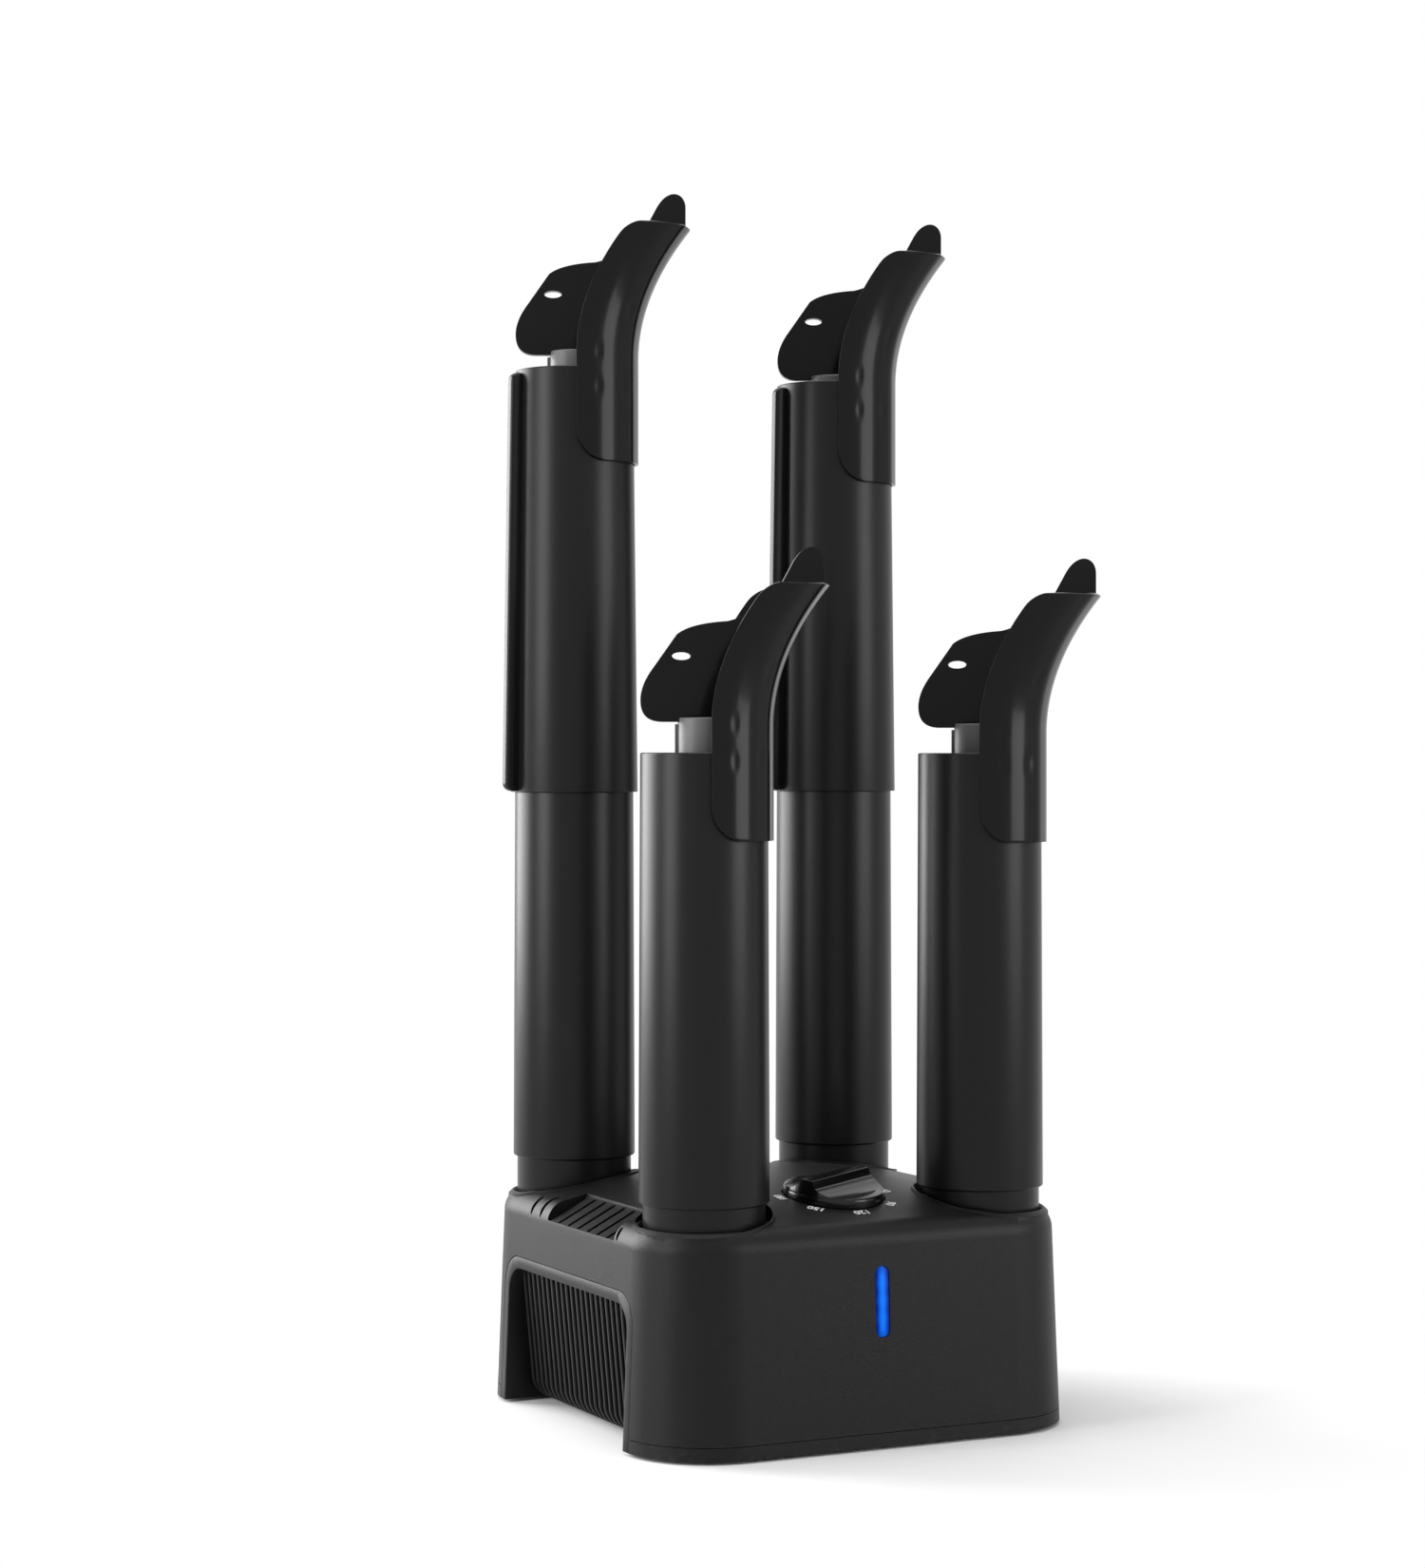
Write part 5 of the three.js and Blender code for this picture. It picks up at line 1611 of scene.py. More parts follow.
@dataclass
class TimerDial:
    """The timer's knob, its pad on the crown and the numbers round it."""

    offset: float = 62.0
    tilt: float = 8.0
    rest: float = 245.0
    radius: float = 23.7
    skirt: float = 5.0
    height: float = 10.3
    grip: float = 7.4
    grip_foot: float = 36.0
    grip_end: float = 1.7
    roof: float = 2.3
    well_radius: float = 24.5
    well_depth: float = 1.5
    well_gap: float = GAP
    pad_radius: float = 27.0
    pad_depth: float = 4.0
    shaft: float = 3.0
    number_radius: float = 27.6
    number_size: float = 5.6
    number_step: float = 45.0
    number_bold: float = 0.18
    number_rise: float = 0.09
    numbers: tuple[str, ...] = ("0", "30", "60", "90", "120", "150", "180")
    form: CaseForm = field(default_factory=CaseForm)

    def leaned(self, thing: bpy.types.Object) -> bpy.types.Object:
        """Lean a solid with the crown and set it at the dial's place."""
        place = shift(0, -self.offset, self.form.crown_height(self.offset))
        return placed(thing, spin(self.tilt, "X"), place)

    def pad(self) -> bpy.types.Object:
        """The thicker patch under the knob's well."""
        low, high = -self.pad_depth, -self.well_depth - self.well_gap
        return self.leaned(pin("pad", self.pad_radius, low, high))

    def well(self) -> bpy.types.Object:
        """The cutter of the shallow well that the knob's skirt stands in."""
        return self.leaned(pin("well", self.well_radius, -self.well_depth, 8))

    def shaft_hole(self) -> bpy.types.Object:
        """The cutter of the shaft's hole."""
        return self.leaned(pin("shaft_hole", self.shaft + 0.5, -12, OVER, 32))

    def grip_outline(self) -> list[Point]:
        """The grip bar's XZ section: a round top on sides that sweep out into the skirt.

        Returns:
            Its points.
        """
        foot, half, top = self.grip_foot / 2, self.grip / 2, self.height
        low = self.well_gap - self.well_depth + self.skirt
        outline = Outline((-foot, low - 1.5))
        outline.line((-foot, low - 0.1))
        outline.curve((-half - 1.8, low + 0.4), (-half, top - 0.9), steps=18)
        outline.curve((-half + 0.1, top), (-half + 1.0, top), steps=5)
        outline.line((half - 1.0, top))
        outline.curve((half - 0.1, top), (half, top - 0.9), steps=5)
        outline.curve((half + 1.8, low + 0.4), (foot, low - 0.1), steps=18)
        outline.line((foot, low - 1.5))
        return outline.points

    def knob(self, finish: bpy.types.Material) -> bpy.types.Object:
        """Build the knob: a low skirt and a grip bar across it.

        Args:
            finish: Its material.

        Returns:
            The piece.
        """
        low = self.well_gap - self.well_depth
        top = low + self.skirt
        radius = self.radius
        side = [(0, low, 0), (radius, low, 0.5), (radius, top - 0.2, 1.4)]
        knob = turned("timer_knob_look", filleted([*side, (radius - 4, top, 2.0), (0, top, 0)], 6))
        grip = drawn_out("grip", self.grip_outline(), -radius, radius, Axis.Y)
        crest, high = radius - self.grip_end, self.height + 0.1
        side = [(0, 0, 0), (radius - 0.4, 0, 0), (radius - 0.4, top, 0)]
        dome = turned("dome", filleted([*side, (crest, high, 0.8), (0, high, 0)], 8))
        worked(grip, [dome], Operation.KEEP)
        worked(knob, [grip], Operation.JOIN)
        roof = self.height - self.roof
        worked(knob, [pin("bore", self.shaft + GAP, low - 1, roof, 32)], Operation.CUT)
        eased(knob, 0.35, 3, 32)
        self.leaned(placed(knob, spin(-self.rest)))
        return shown(knob, finish, "timer_dial", "knob_black", "timer_knob")

    def number(self, index: int, crown: BVHTree, finish: bpy.types.Material) -> bpy.types.Object:
        """One printed number, laid on the crown.

        Args:
            index: Its place in the row of numbers, each 45 degrees on.
            crown: The crown's surface.
            finish: The paint.

        Returns:
            The piece.
        """
        words = bpy.data.curves.new("number", "FONT")
        words.body = self.numbers[index]
        words.size = self.number_size * MM
        words.align_x, words.align_y = "CENTER", "CENTER"
        words.resolution_u = 4
        words.offset = self.number_bold * MM
        holder = linked("number", words)
        graph = bpy.context.evaluated_depsgraph_get()
        mesh = bpy.data.meshes.new_from_object(holder.evaluated_get(graph))
        bpy.data.objects.remove(holder)
        piece = linked(f"dial_number_{self.numbers[index]}", mesh)
        angle = math.radians(90 - self.number_step * index)
        place = shift(
            self.number_radius * math.cos(angle), self.number_radius * math.sin(angle) - self.offset
        )
        placed(piece, spin(-self.number_step * index), place)
        work = bmesh.new()
        work.from_mesh(mesh)
        bmesh.ops.remove_doubles(work, verts=work.verts, dist=1e-6)
        bmesh.ops.triangulate(work, faces=work.faces)
        rise = Vector((0, 0, self.number_rise * MM))
        for vertex in list(work.verts):
            hit = crown.ray_cast(Vector((vertex.co.x, vertex.co.y, 1.0)), Vector((0, 0, -1)))[0]
            vertex.co = hit + rise
        extruded = bmesh.ops.extrude_face_region(work, geom=list(work.faces))
        upper = [v for v in extruded["geom"] if isinstance(v, bmesh.types.BMVert)]
        bmesh.ops.translate(work, verts=upper, vec=rise)
        # the extrusion leaves its parts in an order that changes from run to run
        settled(work.verts, lambda vertex: vertex.co)
        settled(work.faces, lambda face: face.calc_center_median())
        bmesh.ops.recalc_face_normals(work, faces=work.faces)
        work.to_mesh(mesh)
        work.free()
        return shown(piece, finish, "case", "nylon_white")


@dataclass
class CordGland:
    """The bush in the rear wall where the cord goes in."""

    height: float = 24.0
    radius: float = 5.6
    bore: float = 3.6
    flange_radius: float = 8.4
    flange: float = 2.0
    form: CaseForm = field(default_factory=CaseForm)

    def hole(self) -> bpy.types.Object:
        """The cutter of its hole."""
        hole = pin("hole", self.radius + GAP, -20, 20, 48)
        return placed(hole, spin(-90, "X"), shift(0, self.form.half, self.height))

    def build(self, finish: bpy.types.Material) -> bpy.types.Object:
        """Build the gland.

        Args:
            finish: Its material.

        Returns:
            The piece.
        """
        outer = self.form.half_at(self.height - self.flange_radius) + GAP
        inner = self.form.half_at(self.height + self.flange_radius) - self.form.wall - GAP
        lip = self.radius + 1.6
        profile = filleted(
            [
                (self.bore, inner - self.flange, 0.4),
                (lip, inner - self.flange, 0.4),
                (lip, inner - 0.4, 0),
                (self.radius, inner, 0),
                (self.radius, outer, 0),
                (self.flange_radius, outer, 0.3),
                (self.flange_radius - 0.8, outer + self.flange, 0.8),
                (self.bore, outer + self.flange, 0.8),
            ]
        )
        gland = placed(
            turned("cord_gland_look", profile, 64), spin(-90, "X"), shift(0, 0, self.height)
        )
        return shown(smoothed(gland), finish, "case", "rubber_black", "cord_gland")


@dataclass
class SmallParts:
    """The rubber feet and the case screws."""

    tray: BaseTray = field(default_factory=BaseTray)
    foot_radius: float = 8.0
    foot_proud: float = 1.5
    foot_high: float = 1.2
    screw_radius: float = 1.6
    screw_head: float = 3.4
    screw_length: float = 15.0
    screw_seat: float = 3.7
    head_height: float = 2.6
    cross: Point = (2.1, 0.35)

    def feet(self, finish: bpy.types.Material) -> bpy.types.Object:
        """Build the four feet, with a shallow ring in each sole.

        Args:
            finish: Their material.

        Returns:
            The feet, as one piece.
        """
        r, low = self.foot_radius, -self.foot_proud
        high, ring = self.foot_high, low + 0.5
        sole = [(0, ring, 0), (r * 0.45, ring, 0.2), (r * 0.55, low, 0.3), (r, low, 0.7)]
        profile = filleted([*sole, (r, high, 0.2), (0, high, 0)])
        foot = smoothed(turned("rubber_feet", profile, 56))
        x, y = self.tray.foot_place
        repeated_at_corners().run(foot, Width=2 * x * MM, Depth=2 * y * MM, Finish=finish)
        return shown(foot, finish, "case", "rubber_black", *[f"foot_{c}" for c in CORNERS])

    def screws(self, finish: bpy.types.Material) -> bpy.types.Object:
        """Build the four screws, each with a cross in its head.

        Args:
            finish: Their material.

        Returns:
            The screws, as one piece.
        """
        seat = self.screw_seat
        low = seat - self.head_height
        profile = filleted(
            [
                (0, low, 0),
                (self.screw_head, low + 0.4, 0.6),
                (self.screw_head, seat, 0),
                (self.screw_radius, seat, 0),
                (self.screw_radius, seat + self.screw_length - 1.5, 0),
                (0, seat + self.screw_length, 0),
            ]
        )
        screw = turned("case_screws", profile, 40)
        blades = [
            block("blade", (-x, -y, low - 1), (x, y, low + 1.4))
            for x, y in (self.cross, self.cross[::-1])
        ]
        worked(screw, blades, Operation.CUT)
        smoothed(screw)
        x, y = self.tray.screw_place
        repeated_at_corners().run(screw, Width=2 * x * MM, Depth=2 * y * MM, Finish=finish)
        return shown(screw, finish, "case", "steel", *[f"case_screw_{c}" for c in CORNERS])


# Tubes, extensions and inserts


@dataclass
class AirTube:
    """A drafted air tube with a narrower spigot, and the extension that slips over it."""

    radius: float = 30.0
    top_radius: float = 29.2
    wall: float = 1.8
    bottom_front: float = 111.0
    bottom_rear: float = 117.8
    top: float = 316.0
    spigot: float = 28.1
    spigot_bottom: float = 77.0
    ledge_width: float = 2.2
    ledge_height: float = 1.6
    insert_space: float = 19.3
    extension_bottom: float = 297.0
    extension_top: float = 505.0
    extension_bore: float = 30.224
    skirt_wall: float = 1.2
    fin_width: float = 6.0
    fin_low: float = 6.4
    fin_high: float = 5.4
    fin_corner: float = 4.0
    facets: int = 128

    def ledge(self, top: float) -> list[tuple[float, float, float]]:
        """The inner side near the top, down to below the insert's ledge.

        Args:
            top: Height of the tube's top.

        Returns:
            Corners of the profile, with their radii.
        """
        inner = self.top_radius - self.wall
        ledge = top - self.insert_space
        return [
            (inner, top, 0.5),
            (inner, ledge, 0),
            (inner - self.ledge_width, ledge, 0),
            (inner, ledge - self.ledge_height - self.ledge_width, 0),
        ]

    def tube(self, name: str, finish: bpy.types.Material) -> bpy.types.Object:
        """Build the lower tube at one corner.

        Args:
            name: The corner's name.
            finish: Its material.

        Returns:
            The piece.
        """
        inner = self.spigot - self.wall
        bottom = self.bottom_rear if name.startswith("rear") else self.bottom_front
        corners = [
            (inner, self.spigot_bottom, 0),
            (self.spigot, self.spigot_bottom, 0.8),
            (self.spigot, bottom, 0.5),
            (self.radius, bottom, 0.9),
            (self.top_radius, self.top, 0.8),
            *self.ledge(self.top),
            (inner, bottom + 2, 0),
        ]
        tube = smoothed(turned(f"{name}_tube_look", filleted(corners), self.facets))
        placed(tube, to_corner(name))
        return shown(tube, finish, f"{name}_tube", "tube_black", f"{name}_tube")

    def fin(self) -> bpy.types.Object:
        """The rib down the heel side of an extension.

        Returns:
            The rib, about the tube's own axis.
        """
        root = self.top_radius - self.wall / 2
        low, high = self.extension_bottom + 0.5, self.extension_top - 2
        out_low = self.extension_bore + self.skirt_wall + self.fin_low
        out_high = self.top_radius + self.fin_high
        corner, half = self.fin_corner, self.fin_width / 2
        corners = [
            (-root, low, 0), (-root, high, 0), (-out_high, high, corner), (-out_low, low, corner)
        ]
        fin = drawn_out("fin", filleted(corners, 8), -half, half, Axis.Y)
        return eased(fin, 1.6, 4, 50)

    def extension(self, name: str, finish: bpy.types.Material) -> bpy.types.Object:
        """Build the extension tube at one corner.

        Args:
            name: The corner's name.
            finish: Its material.

        Returns:
            The piece.
        """
        stop = self.top + GAP
        skirt = self.extension_bore + self.skirt_wall
        bottom, top = self.extension_bottom, self.extension_top
        profile = [(0, bottom, 0), (skirt, bottom, 0.4), (self.top_radius, top, 0.8), (0, top, 0)]
        skin = turned(f"{name}_extension_look", filleted(profile), self.facets)
        inner = self.top_radius - self.wall
        ledge = top - self.insert_space
        bore_profile = [
            (0, bottom - OVER),
            (self.extension_bore, bottom - OVER),
            (self.extension_bore, stop),
            (inner, stop),
            (inner, ledge - self.ledge_height - self.ledge_width),
            (inner - self.ledge_width, ledge),
            (inner, ledge),
            (inner, top + OVER),
            (0, top + OVER),
        ]
        bore = turned("bore", bore_profile, self.facets)
        worked(skin, [self.fin()], Operation.JOIN)
        worked(skin, [bore], Operation.CUT)
        smoothed(skin)
        placed(skin, to_corner(name))
        return shown(skin, finish, f"{name}_extension", "tube_black", f"{name}_extension")


@dataclass
class TurningInsert:
    """The ring and hub in a tube's top in which a head turns and slides."""

    height: float = 18.0
    sink: float = 1.0
    outer: float = 26.9
    ring_wall: float = 1.8
    hub_bore: float = 12.3
    hub_wall: float = 3.0
    spokes: int = 3
    spoke_width: float = 3.0
    key_half: float = 1.5
    key_reach: float = 13.6

    def build(
        self, name: str, top: float, turn: float, finish: bpy.types.Material
    ) -> bpy.types.Object:
        """Build one insert.

        Args:
            name: The corner's name.
            top: Height of the tube's top.
            turn: Rest turn of the head, in degrees.
            finish: Its material.

        Returns:
            The piece.
        """
        high = top - self.sink
        low = high - self.height
        hub_outer = self.hub_bore + self.hub_wall
        outer, inner, half = self.outer, self.outer - self.ring_wall, self.spoke_width / 2
        section = [(inner, low, 0.3), (outer, low, 0.3), (outer, high, 0.5), (inner, high, 0.5)]
        ring = turned(f"{name}_insert_look", filleted(section))
        section = [(0, low, 0), (hub_outer, low, 0.3), (hub_outer, high, 0.6), (0, high, 0)]
        hub = turned("hub", filleted(section), 64)
        arms = [
            placed(
                block("arm", (0, -half, low), (outer - 1, half, high - 0.6)),
                spin(360 / self.spokes * i),
            )
            for i in range(self.spokes)
        ]
        worked(ring, [hub, *arms], Operation.JOIN)
        bore = pin("bore", self.hub_bore, low - 1, high + 1, 64)
        keyway = block(
            "keyway", (-self.key_reach, -self.key_half, low - 1), (0, self.key_half, high + 1)
        )
        worked(ring, [bore, keyway], Operation.CUT)
        placed(smoothed(ring), spin(turn), to_corner(name))
        return shown(ring, finish, f"{name}_insert", "tube_black", f"{name}_insert")


# Boot heads


@dataclass
class BootHead:
    """A flat core on a round stem, and a half-round shell that bends forward over the toe."""

    seat: float = 2.0
    stem: float = 12.0
    stem_wall: float = 2.4
    key_width: float = 2.4
    key_proud: float = 1.3
    stem_low: float = -46.5
    thickness: float = 6.0
    heel_reach: float = 29.0
    heel_height: float = 45.0
    slot_length: float = 8.6
    slot_height: float = 3.6
    slot_offset: float = 10.5
    slot_rise: float = 30.0
    leaf_height: float = 81.0
    leaf_width: float = 17.0
    radius: float = 31.8
    wall: float = 1.6
    wrap: float = 88.0
    skirt: float = 54.0
    top_corner: float = 6.0
    foot_corner: float = 16.0
    ridge: float = 0.7
    ridge_angle: float = 29.3
    bill_start: float = -2.5
    bill_top: float = 62.3
    bill_curve: float = 0.0061
    plate_gap: float = 0.7
    dent_width: float = 1.9
    dent_height: float = 4.2
    dent_depth: float = 0.3
    dents: tuple[tuple[float, float], ...] = (
        (68.0, -1.0), (68.0, -18.0), (41.0, 21.0), (41.0, -17.0)
    )

    def centre(self, h: float) -> float:
        """How far forward the shell's middle lies at a height."""
        return self.bill_curve * max(0.0, h - self.bill_start) ** 2

    def plate_outline(self) -> list[Point]:
        """The core plate seen from the side: rounded heel, low back, and the leaf above the shell.

        Returns:
            Its points in the XZ plane.
        """

        def toe(h: float) -> float:
            """How far forward the plate reaches at a height."""
            return self.centre(h) + self.radius - self.wall - self.plate_gap

        leaf_toe = toe(self.bill_top)
        leaf_heel = leaf_toe - self.leaf_width
        reach, top, slot = self.heel_reach, self.leaf_height, self.slot_offset
        outline = Outline((-reach + 10, 0.0))
        outline.line((toe(0), 0.0))
        outline.line(*[(toe(h), h) for h in [self.bill_top * k / 16 for k in range(1, 17)]])
        outline.line((leaf_toe, top - 8))
        outline.curve((leaf_toe, top), (leaf_heel + 8, top + 3), (leaf_heel + 2, top - 9), steps=20)
        outline.line((leaf_heel - 5, top - 22))
        outline.curve((leaf_heel - 15, self.heel_height + 4), (slot, self.heel_height + 1))
        outline.curve((-slot * 0.6, self.heel_height), (-slot - 2, self.heel_height - 5))
        outline.line((-reach + 6, 25))
        outline.curve((-reach, 17), (-reach, 10))
        outline.curve((-reach, 0), (-reach + 10, 0))
        return outline.points[:-1]

    def core(self, name: str) -> bpy.types.Object:
        """Build the core about its own axis.

        Args:
            name: The corner's name.

        Returns:
            The core.
        """
        half = self.thickness / 2
        plate = drawn_out(f"{name}_head_core_look", self.plate_outline(), -half, half, Axis.Y)
        oval = []
        for k in range(40):
            angle = math.tau * k / 40
            x = -self.slot_offset + self.slot_length / 2 * math.cos(angle)
            oval.append((x, self.slot_rise + self.slot_height / 2 * math.sin(angle)))
        worked(plate, [drawn_out("slot", oval, -20, 20, Axis.Y)], Operation.CUT)
        return eased(plate, 1.3, 4, 45)

    def stem_piece(self, name: str) -> bpy.types.Object:
        """Build the keyed hollow stem under the core, about the head's own axis.

        Args:
            name: The corner's name.

        Returns:
            The stem.
        """
        profile = [
            (0, self.stem_low, 0), (self.stem, self.stem_low, 0.6), (self.stem, 2, 0.8), (0, 2, 0)
        ]
        stem = turned(f"{name}_head_stem_look", filleted(profile), 64)
        half = self.key_width / 2
        key = block("key", (-self.stem - self.key_proud, -half, self.stem_low), (0, half, -1))
        worked(stem, [key], Operation.JOIN)
        bore = pin("bore", self.stem - self.stem_wall, self.stem_low - 1, 1, 64)
        worked(stem, [bore], Operation.CUT)
        return smoothed(stem)

    def shell_tree(self) -> ShapeTree:
        """A tree that makes the shell from its rule: a half-round strip bent along a parabola.

        Returns:
            The tree, with inputs for the sizes, in metres and radians.
        """
        tree = ShapeTree("Half-round shell")
        radius, wrap = tree.take("Radius"), tree.take("Wrap")
        skirt, top = tree.take("Skirt"), tree.take("Top")
        foot_corner, top_corner = tree.take("Foot corner"), tree.take("Top corner")
        start, bend = tree.take("Bend start"), tree.take("Bend")
        ridge, ridge_angle = tree.take("Ridge"), tree.take("Ridge angle")
        finish = tree.take("Finish", "NodeSocketMaterial")
        counts = {"Size X": 1.0, "Size Y": 1.0, "Vertices X": 89, "Vertices Y": 81}
        grid = tree.add("GeometryNodeMeshGrid", None, counts)
        x, y, _ = tree.separate(tree.add("GeometryNodeInputPosition"))
        across = x * 2
        angle = wrap * (across * 0.2 + (across * (math.pi / 2)).math("SINE") * 0.8)
        away = (wrap - abs(angle)) * radius

        def drawn_back(corner: Value) -> Value:
            """How far a rounded corner draws the edge back."""
            past = (corner - away).math("MAXIMUM", 0.0)
            return corner - (corner * corner - past * past).math("MAXIMUM", 0.0).math("SQRT")

        low = drawn_back(foot_corner) - skirt
        high = top - drawn_back(top_corner)
        h = low + (high - low) * (y + 0.5)
        rise = (h - start).math("MAXIMUM", 0.0)
        swell = ridge * ((-(((abs(angle) - ridge_angle) / 0.13) ** 2.0)).math("EXPONENT"))
        reach = radius + swell
        for degrees, height in self.dents:
            side = (abs(angle) - math.radians(degrees)) * radius / (self.dent_width * MM)
            up = (h - height * MM) / (self.dent_height * MM)
            reach = reach - (-(side * side + up * up)).math("EXPONENT") * (self.dent_depth * MM)
        spot = tree.combine(
            bend * rise * rise + reach * angle.math("COSINE"), reach * angle.math("SINE"), h
        )
        tree.give(
            tree.add("GeometryNodeSetPosition", None, {"Geometry": grid, "Position": spot}), finish
        )
        return tree

    def shell(self, name: str, finish: bpy.types.Material) -> bpy.types.Object:
        """Build the shell about the head's own axis.

        Args:
            name: The corner's name.
            finish: Its material.

        Returns:
            The shell.
        """
        shell = linked(f"{name}_head_shell_look", bpy.data.meshes.new("shell"))
        self.shell_tree().run(
            shell,
            Radius=self.radius * MM,
            Wrap=math.radians(self.wrap),
            Skirt=self.skirt * MM,
            Top=self.bill_top * MM,
            Foot_corner=self.foot_corner * MM,
            Top_corner=self.top_corner * MM,
            Bend_start=self.bill_start * MM,
            Bend=self.bill_curve / MM,
            Ridge=self.ridge * MM,
            Ridge_angle=math.radians(self.ridge_angle),
            Finish=finish,
        )
        wall = shell.modifiers.new("wall", "SOLIDIFY")
        wall.thickness = self.wall * MM
        wall.offset = -1.0
        wall.use_even_offset = True
        fixed(shell)
        return eased(shell, 0.45, 3, 60)

    def build(self, name: str, top: float, turn: float, lift: float, paints: Paints) -> None:
        """Build one head in its place.

        Args:
            name: The corner's name.
            top: Height of the tube's top.
            turn: Rest turn, in degrees.
            lift: Height above its lowest place.
            paints: The finishes.
        """
        finish = paints.head
        steps = (spin(turn), to_corner(name, top + self.seat + lift))
        core = placed(self.core(name), *steps)
        shown(core, finish, f"{name}_head", "head_black", f"{name}_head_core")
        stem = placed(self.stem_piece(name), *steps)
        shown(stem, paints.stem, f"{name}_head", "inner_grey")
        shell = placed(self.shell(name, finish), *steps)
        shown(shell, finish, f"{name}_head", "head_black", f"{name}_head_shell")


# Light, floor and camera


@dataclass
class Studio:
    """Soft lights, a pale floor and the camera of the photograph."""

    camera_place: tuple[float, float, float] = (-744.6, -1441.6, 311.7)
    forward: tuple[float, float, float] = (0.4428, 0.8966, 0.0)
    focal: float = 3516.0
    long_side: float = 1650.0
    horizon_shift: float = 23.0
    floor_level: float = -1.5

    def camera(self) -> None:
        """Set up the camera."""
        data = bpy.data.cameras.new("camera")
        data.sensor_fit = "AUTO"
        data.sensor_width = 36.0
        data.lens = 36.0 * self.focal / self.long_side
        data.shift_y = -self.horizon_shift / self.long_side
        data.clip_start, data.clip_end = 0.05, 60.0
        camera = linked("camera", data)
        camera.location = Vector(self.camera_place) * MM
        camera.rotation_mode = "QUATERNION"
        camera.rotation_quaternion = Vector(self.forward).to_track_quat("-Z", "Y")
        bpy.context.scene.camera = camera

    def lamp(
        self, name: str, place: Sequence[float], aim: Sequence[float], size: Point, power: float
    ) -> None:
        """Add a soft box.

        Args:
            name: The name of the lamp.
            place: Where it hangs, in metres.
            aim: What it points at, in metres.
            size: Its width and height, in metres.
            power: Its power in watts.
        """
        data = bpy.data.lights.new(name, "AREA")
        data.shape = "RECTANGLE"
        data.size, data.size_y = size
        data.energy = power
        lamp = linked(name, data)
        lamp.location = place
        lamp.rotation_mode = "QUATERNION"
        lamp.rotation_quaternion = (Vector(aim) - Vector(place)).to_track_quat("-Z", "Y")

    def world(self) -> None:
        """A white surround for the eye and for reflections, and a dimmer one for light."""
        world = bpy.data.worlds.new("studio")
        world.use_nodes = True
        bpy.context.scene.world = world
        graph = Graph(world.node_tree)
        seen = self.seen(graph)
        background = world.node_tree.nodes["Background"]
        background.inputs["Color"].default_value = (1.0, 1.0, 1.0, 1.0)
        strength = 0.22 + seen * 0.78
        world.node_tree.links.new(strength.socket, background.inputs["Strength"])

    @staticmethod
    def seen(graph: Graph) -> Value:
        """1 where a ray comes from the camera, a gloss or something clear.

        Args:
            graph: The graph that asks.

        Returns:
            The share, 0 or 1.
        """
        path = graph.add("ShaderNodeLightPath")
        outputs = path.socket.node.outputs
        camera = Value(graph, outputs["Is Camera Ray"])
        gloss = Value(graph, outputs["Is Glossy Ray"])
        through = Value(graph, outputs["Is Transmission Ray"])
        return camera.math("MAXIMUM", gloss).math("MAXIMUM", through)

    def floor(self) -> None:
        """A pale floor that fades to white away from the object."""
        half = 6.0 / MM
        z = self.floor_level
        corners = [(-half, -half, z), (half, -half, z), (half, half, z), (-half, half, z)]
        floor = made("floor", corners, [(0, 1, 2, 3)])
        skin = Skin("Pale_floor")
        x, y, _ = skin.separate(skin.place)
        away = (x * x + y * y).math("SQRT")
        near = skin.noise(3.0, 2.0)
        skin.set(Base_Color=skin.blend(near, (0.88, 0.88, 0.88), (0.9, 0.9, 0.9)), Roughness=0.9)
        white = skin.add(
            "ShaderNodeEmission", None, {"Color": (1.0, 1.0, 1.0, 1.0), "Strength": 1.0}
        )
        factor = away.ramp(0.16, 0.42) * self.seen(skin)
        surface = Value(skin, skin.shader.outputs[0])
        mixed = skin.add("ShaderNodeMixShader", None, {0: factor, 1: surface, 2: white})
        skin.tree.links.new(mixed.socket, skin.tree.nodes["Material Output"].inputs["Surface"])
        floor.data.materials.append(skin.material)

    def build(self) -> None:
        """Set the stage.
        """
        self.camera()
        self.world()
        self.floor()
        self.lamp("left rear", (-1.3, 1.9, 0.8), (0, 0, 0.25), (1.7, 1.5), 78.0)
        self.lamp("front right", (1.65, -2.1, 0.85), (0, 0, 0.3), (1.2, 1.6), 38.0)
        self.lamp("left", (-2.3, -0.1, 0.85), (0, 0, 0.3), (0.9, 1.6), 40.0)
        self.lamp("top", (0, 0.2, 2.4), (0, 0, 0), (1.8, 1.8), 40.0)


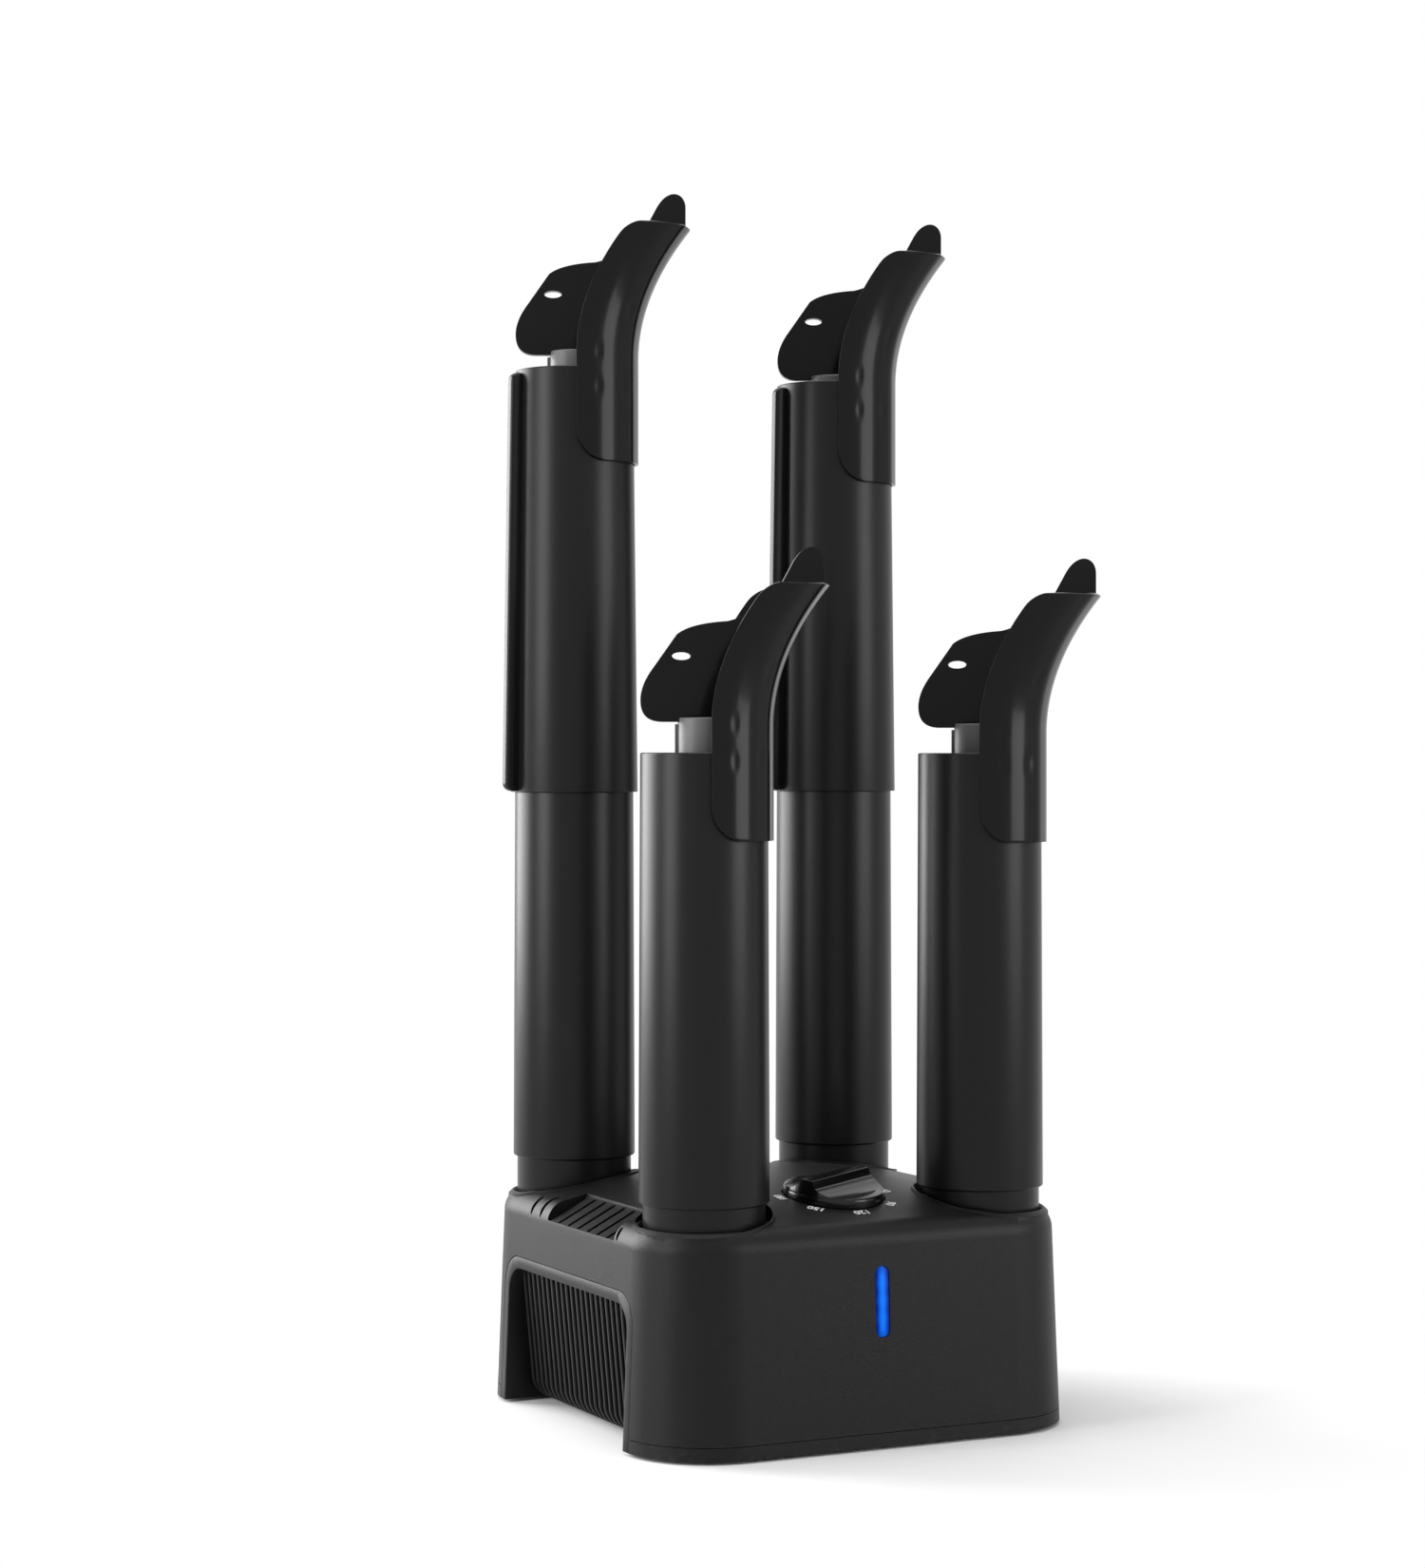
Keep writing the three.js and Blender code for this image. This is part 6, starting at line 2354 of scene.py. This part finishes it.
@dataclass
class Dryer:
    """The whole dryer."""

    paints: Paints
    form: CaseForm = field(default_factory=CaseForm)
    tubes: AirTube = field(default_factory=AirTube)
    heads: dict[str, tuple[float, float]] = field(
        default_factory=lambda: {
            "front_left": (-22.0, 12.0),
            "front_right": (-33.0, 10.0),
            "rear_left": (-24.0, 6.0),
            "rear_right": (-26.0, 1.0),
        }
    )

    def case(self) -> None:
        """Build the case and what is fixed to it."""
        dial, bar, gland = TimerDial(), LightBar(), CordGland()
        crown = self.form.skin("crown")
        surface = BVHTree.FromObject(crown, bpy.context.evaluated_depsgraph_get())
        bpy.data.objects.remove(crown)
        TopHousing().build(dial, bar, gland, self.paints.case)
        BaseTray().build(self.paints.case)
        SideArch().build(-1, "side_grille_left", self.paints.case)
        SideArch().build(1, "side_grille_right", self.paints.case)
        bar.build(self.paints.light)
        gland.build(self.paints.rubber)
        SmallParts().feet(self.paints.rubber)
        SmallParts().screws(self.paints.steel)
        dial.knob(self.paints.knob)
        for index in range(len(dial.numbers)):
            dial.number(index, surface, self.paints.numeral)

    def stations(self) -> None:
        """Build the tubes, extensions, inserts and heads."""
        for name, (turn, lift) in self.heads.items():
            self.tubes.tube(name, self.paints.tube)
            top = self.tubes.top
            if name.startswith("rear"):
                self.tubes.extension(name, self.paints.tube)
                top = self.tubes.extension_top
            TurningInsert().build(name, top, turn, self.paints.tube)
            BootHead().build(name, top, turn, lift, self.paints)

    def inside(self) -> None:
        """Dress the CAD nodes that are shown as they are."""
        finishes = {
            "light_board": self.paints.board,
            "timer_body": self.paints.nylon,
            "timer_shaft": self.paints.nylon,
            "fan_frame": self.paints.inner,
            "fan_impeller": self.paints.inner,
            "air_manifold": self.paints.inner,
            "fan_motor": self.paints.steel,
            "thermal_cutout": self.paints.steel,
            "heater_frame": self.paints.mica,
            "heater_element": self.paints.alloy,
        }
        for node, finish in finishes.items():
            thing = frame["nodes"][node]
            thing.data.materials.clear()
            thing.data.materials.append(finish)
            LOG.info("%s dressed with %s", node, finish.name)


def main() -> None:
    """Build everything in order."""
    logging.basicConfig(level=logging.INFO, format="%(name)s: %(message)s")
    bpy.context.scene.view_settings.view_transform = "Standard"
    dryer = Dryer(Paints())
    dryer.case()
    dryer.stations()
    dryer.inside()
    Studio().build()
    bpy.context.view_layer.update()


if __name__ == "__main__":
    main()
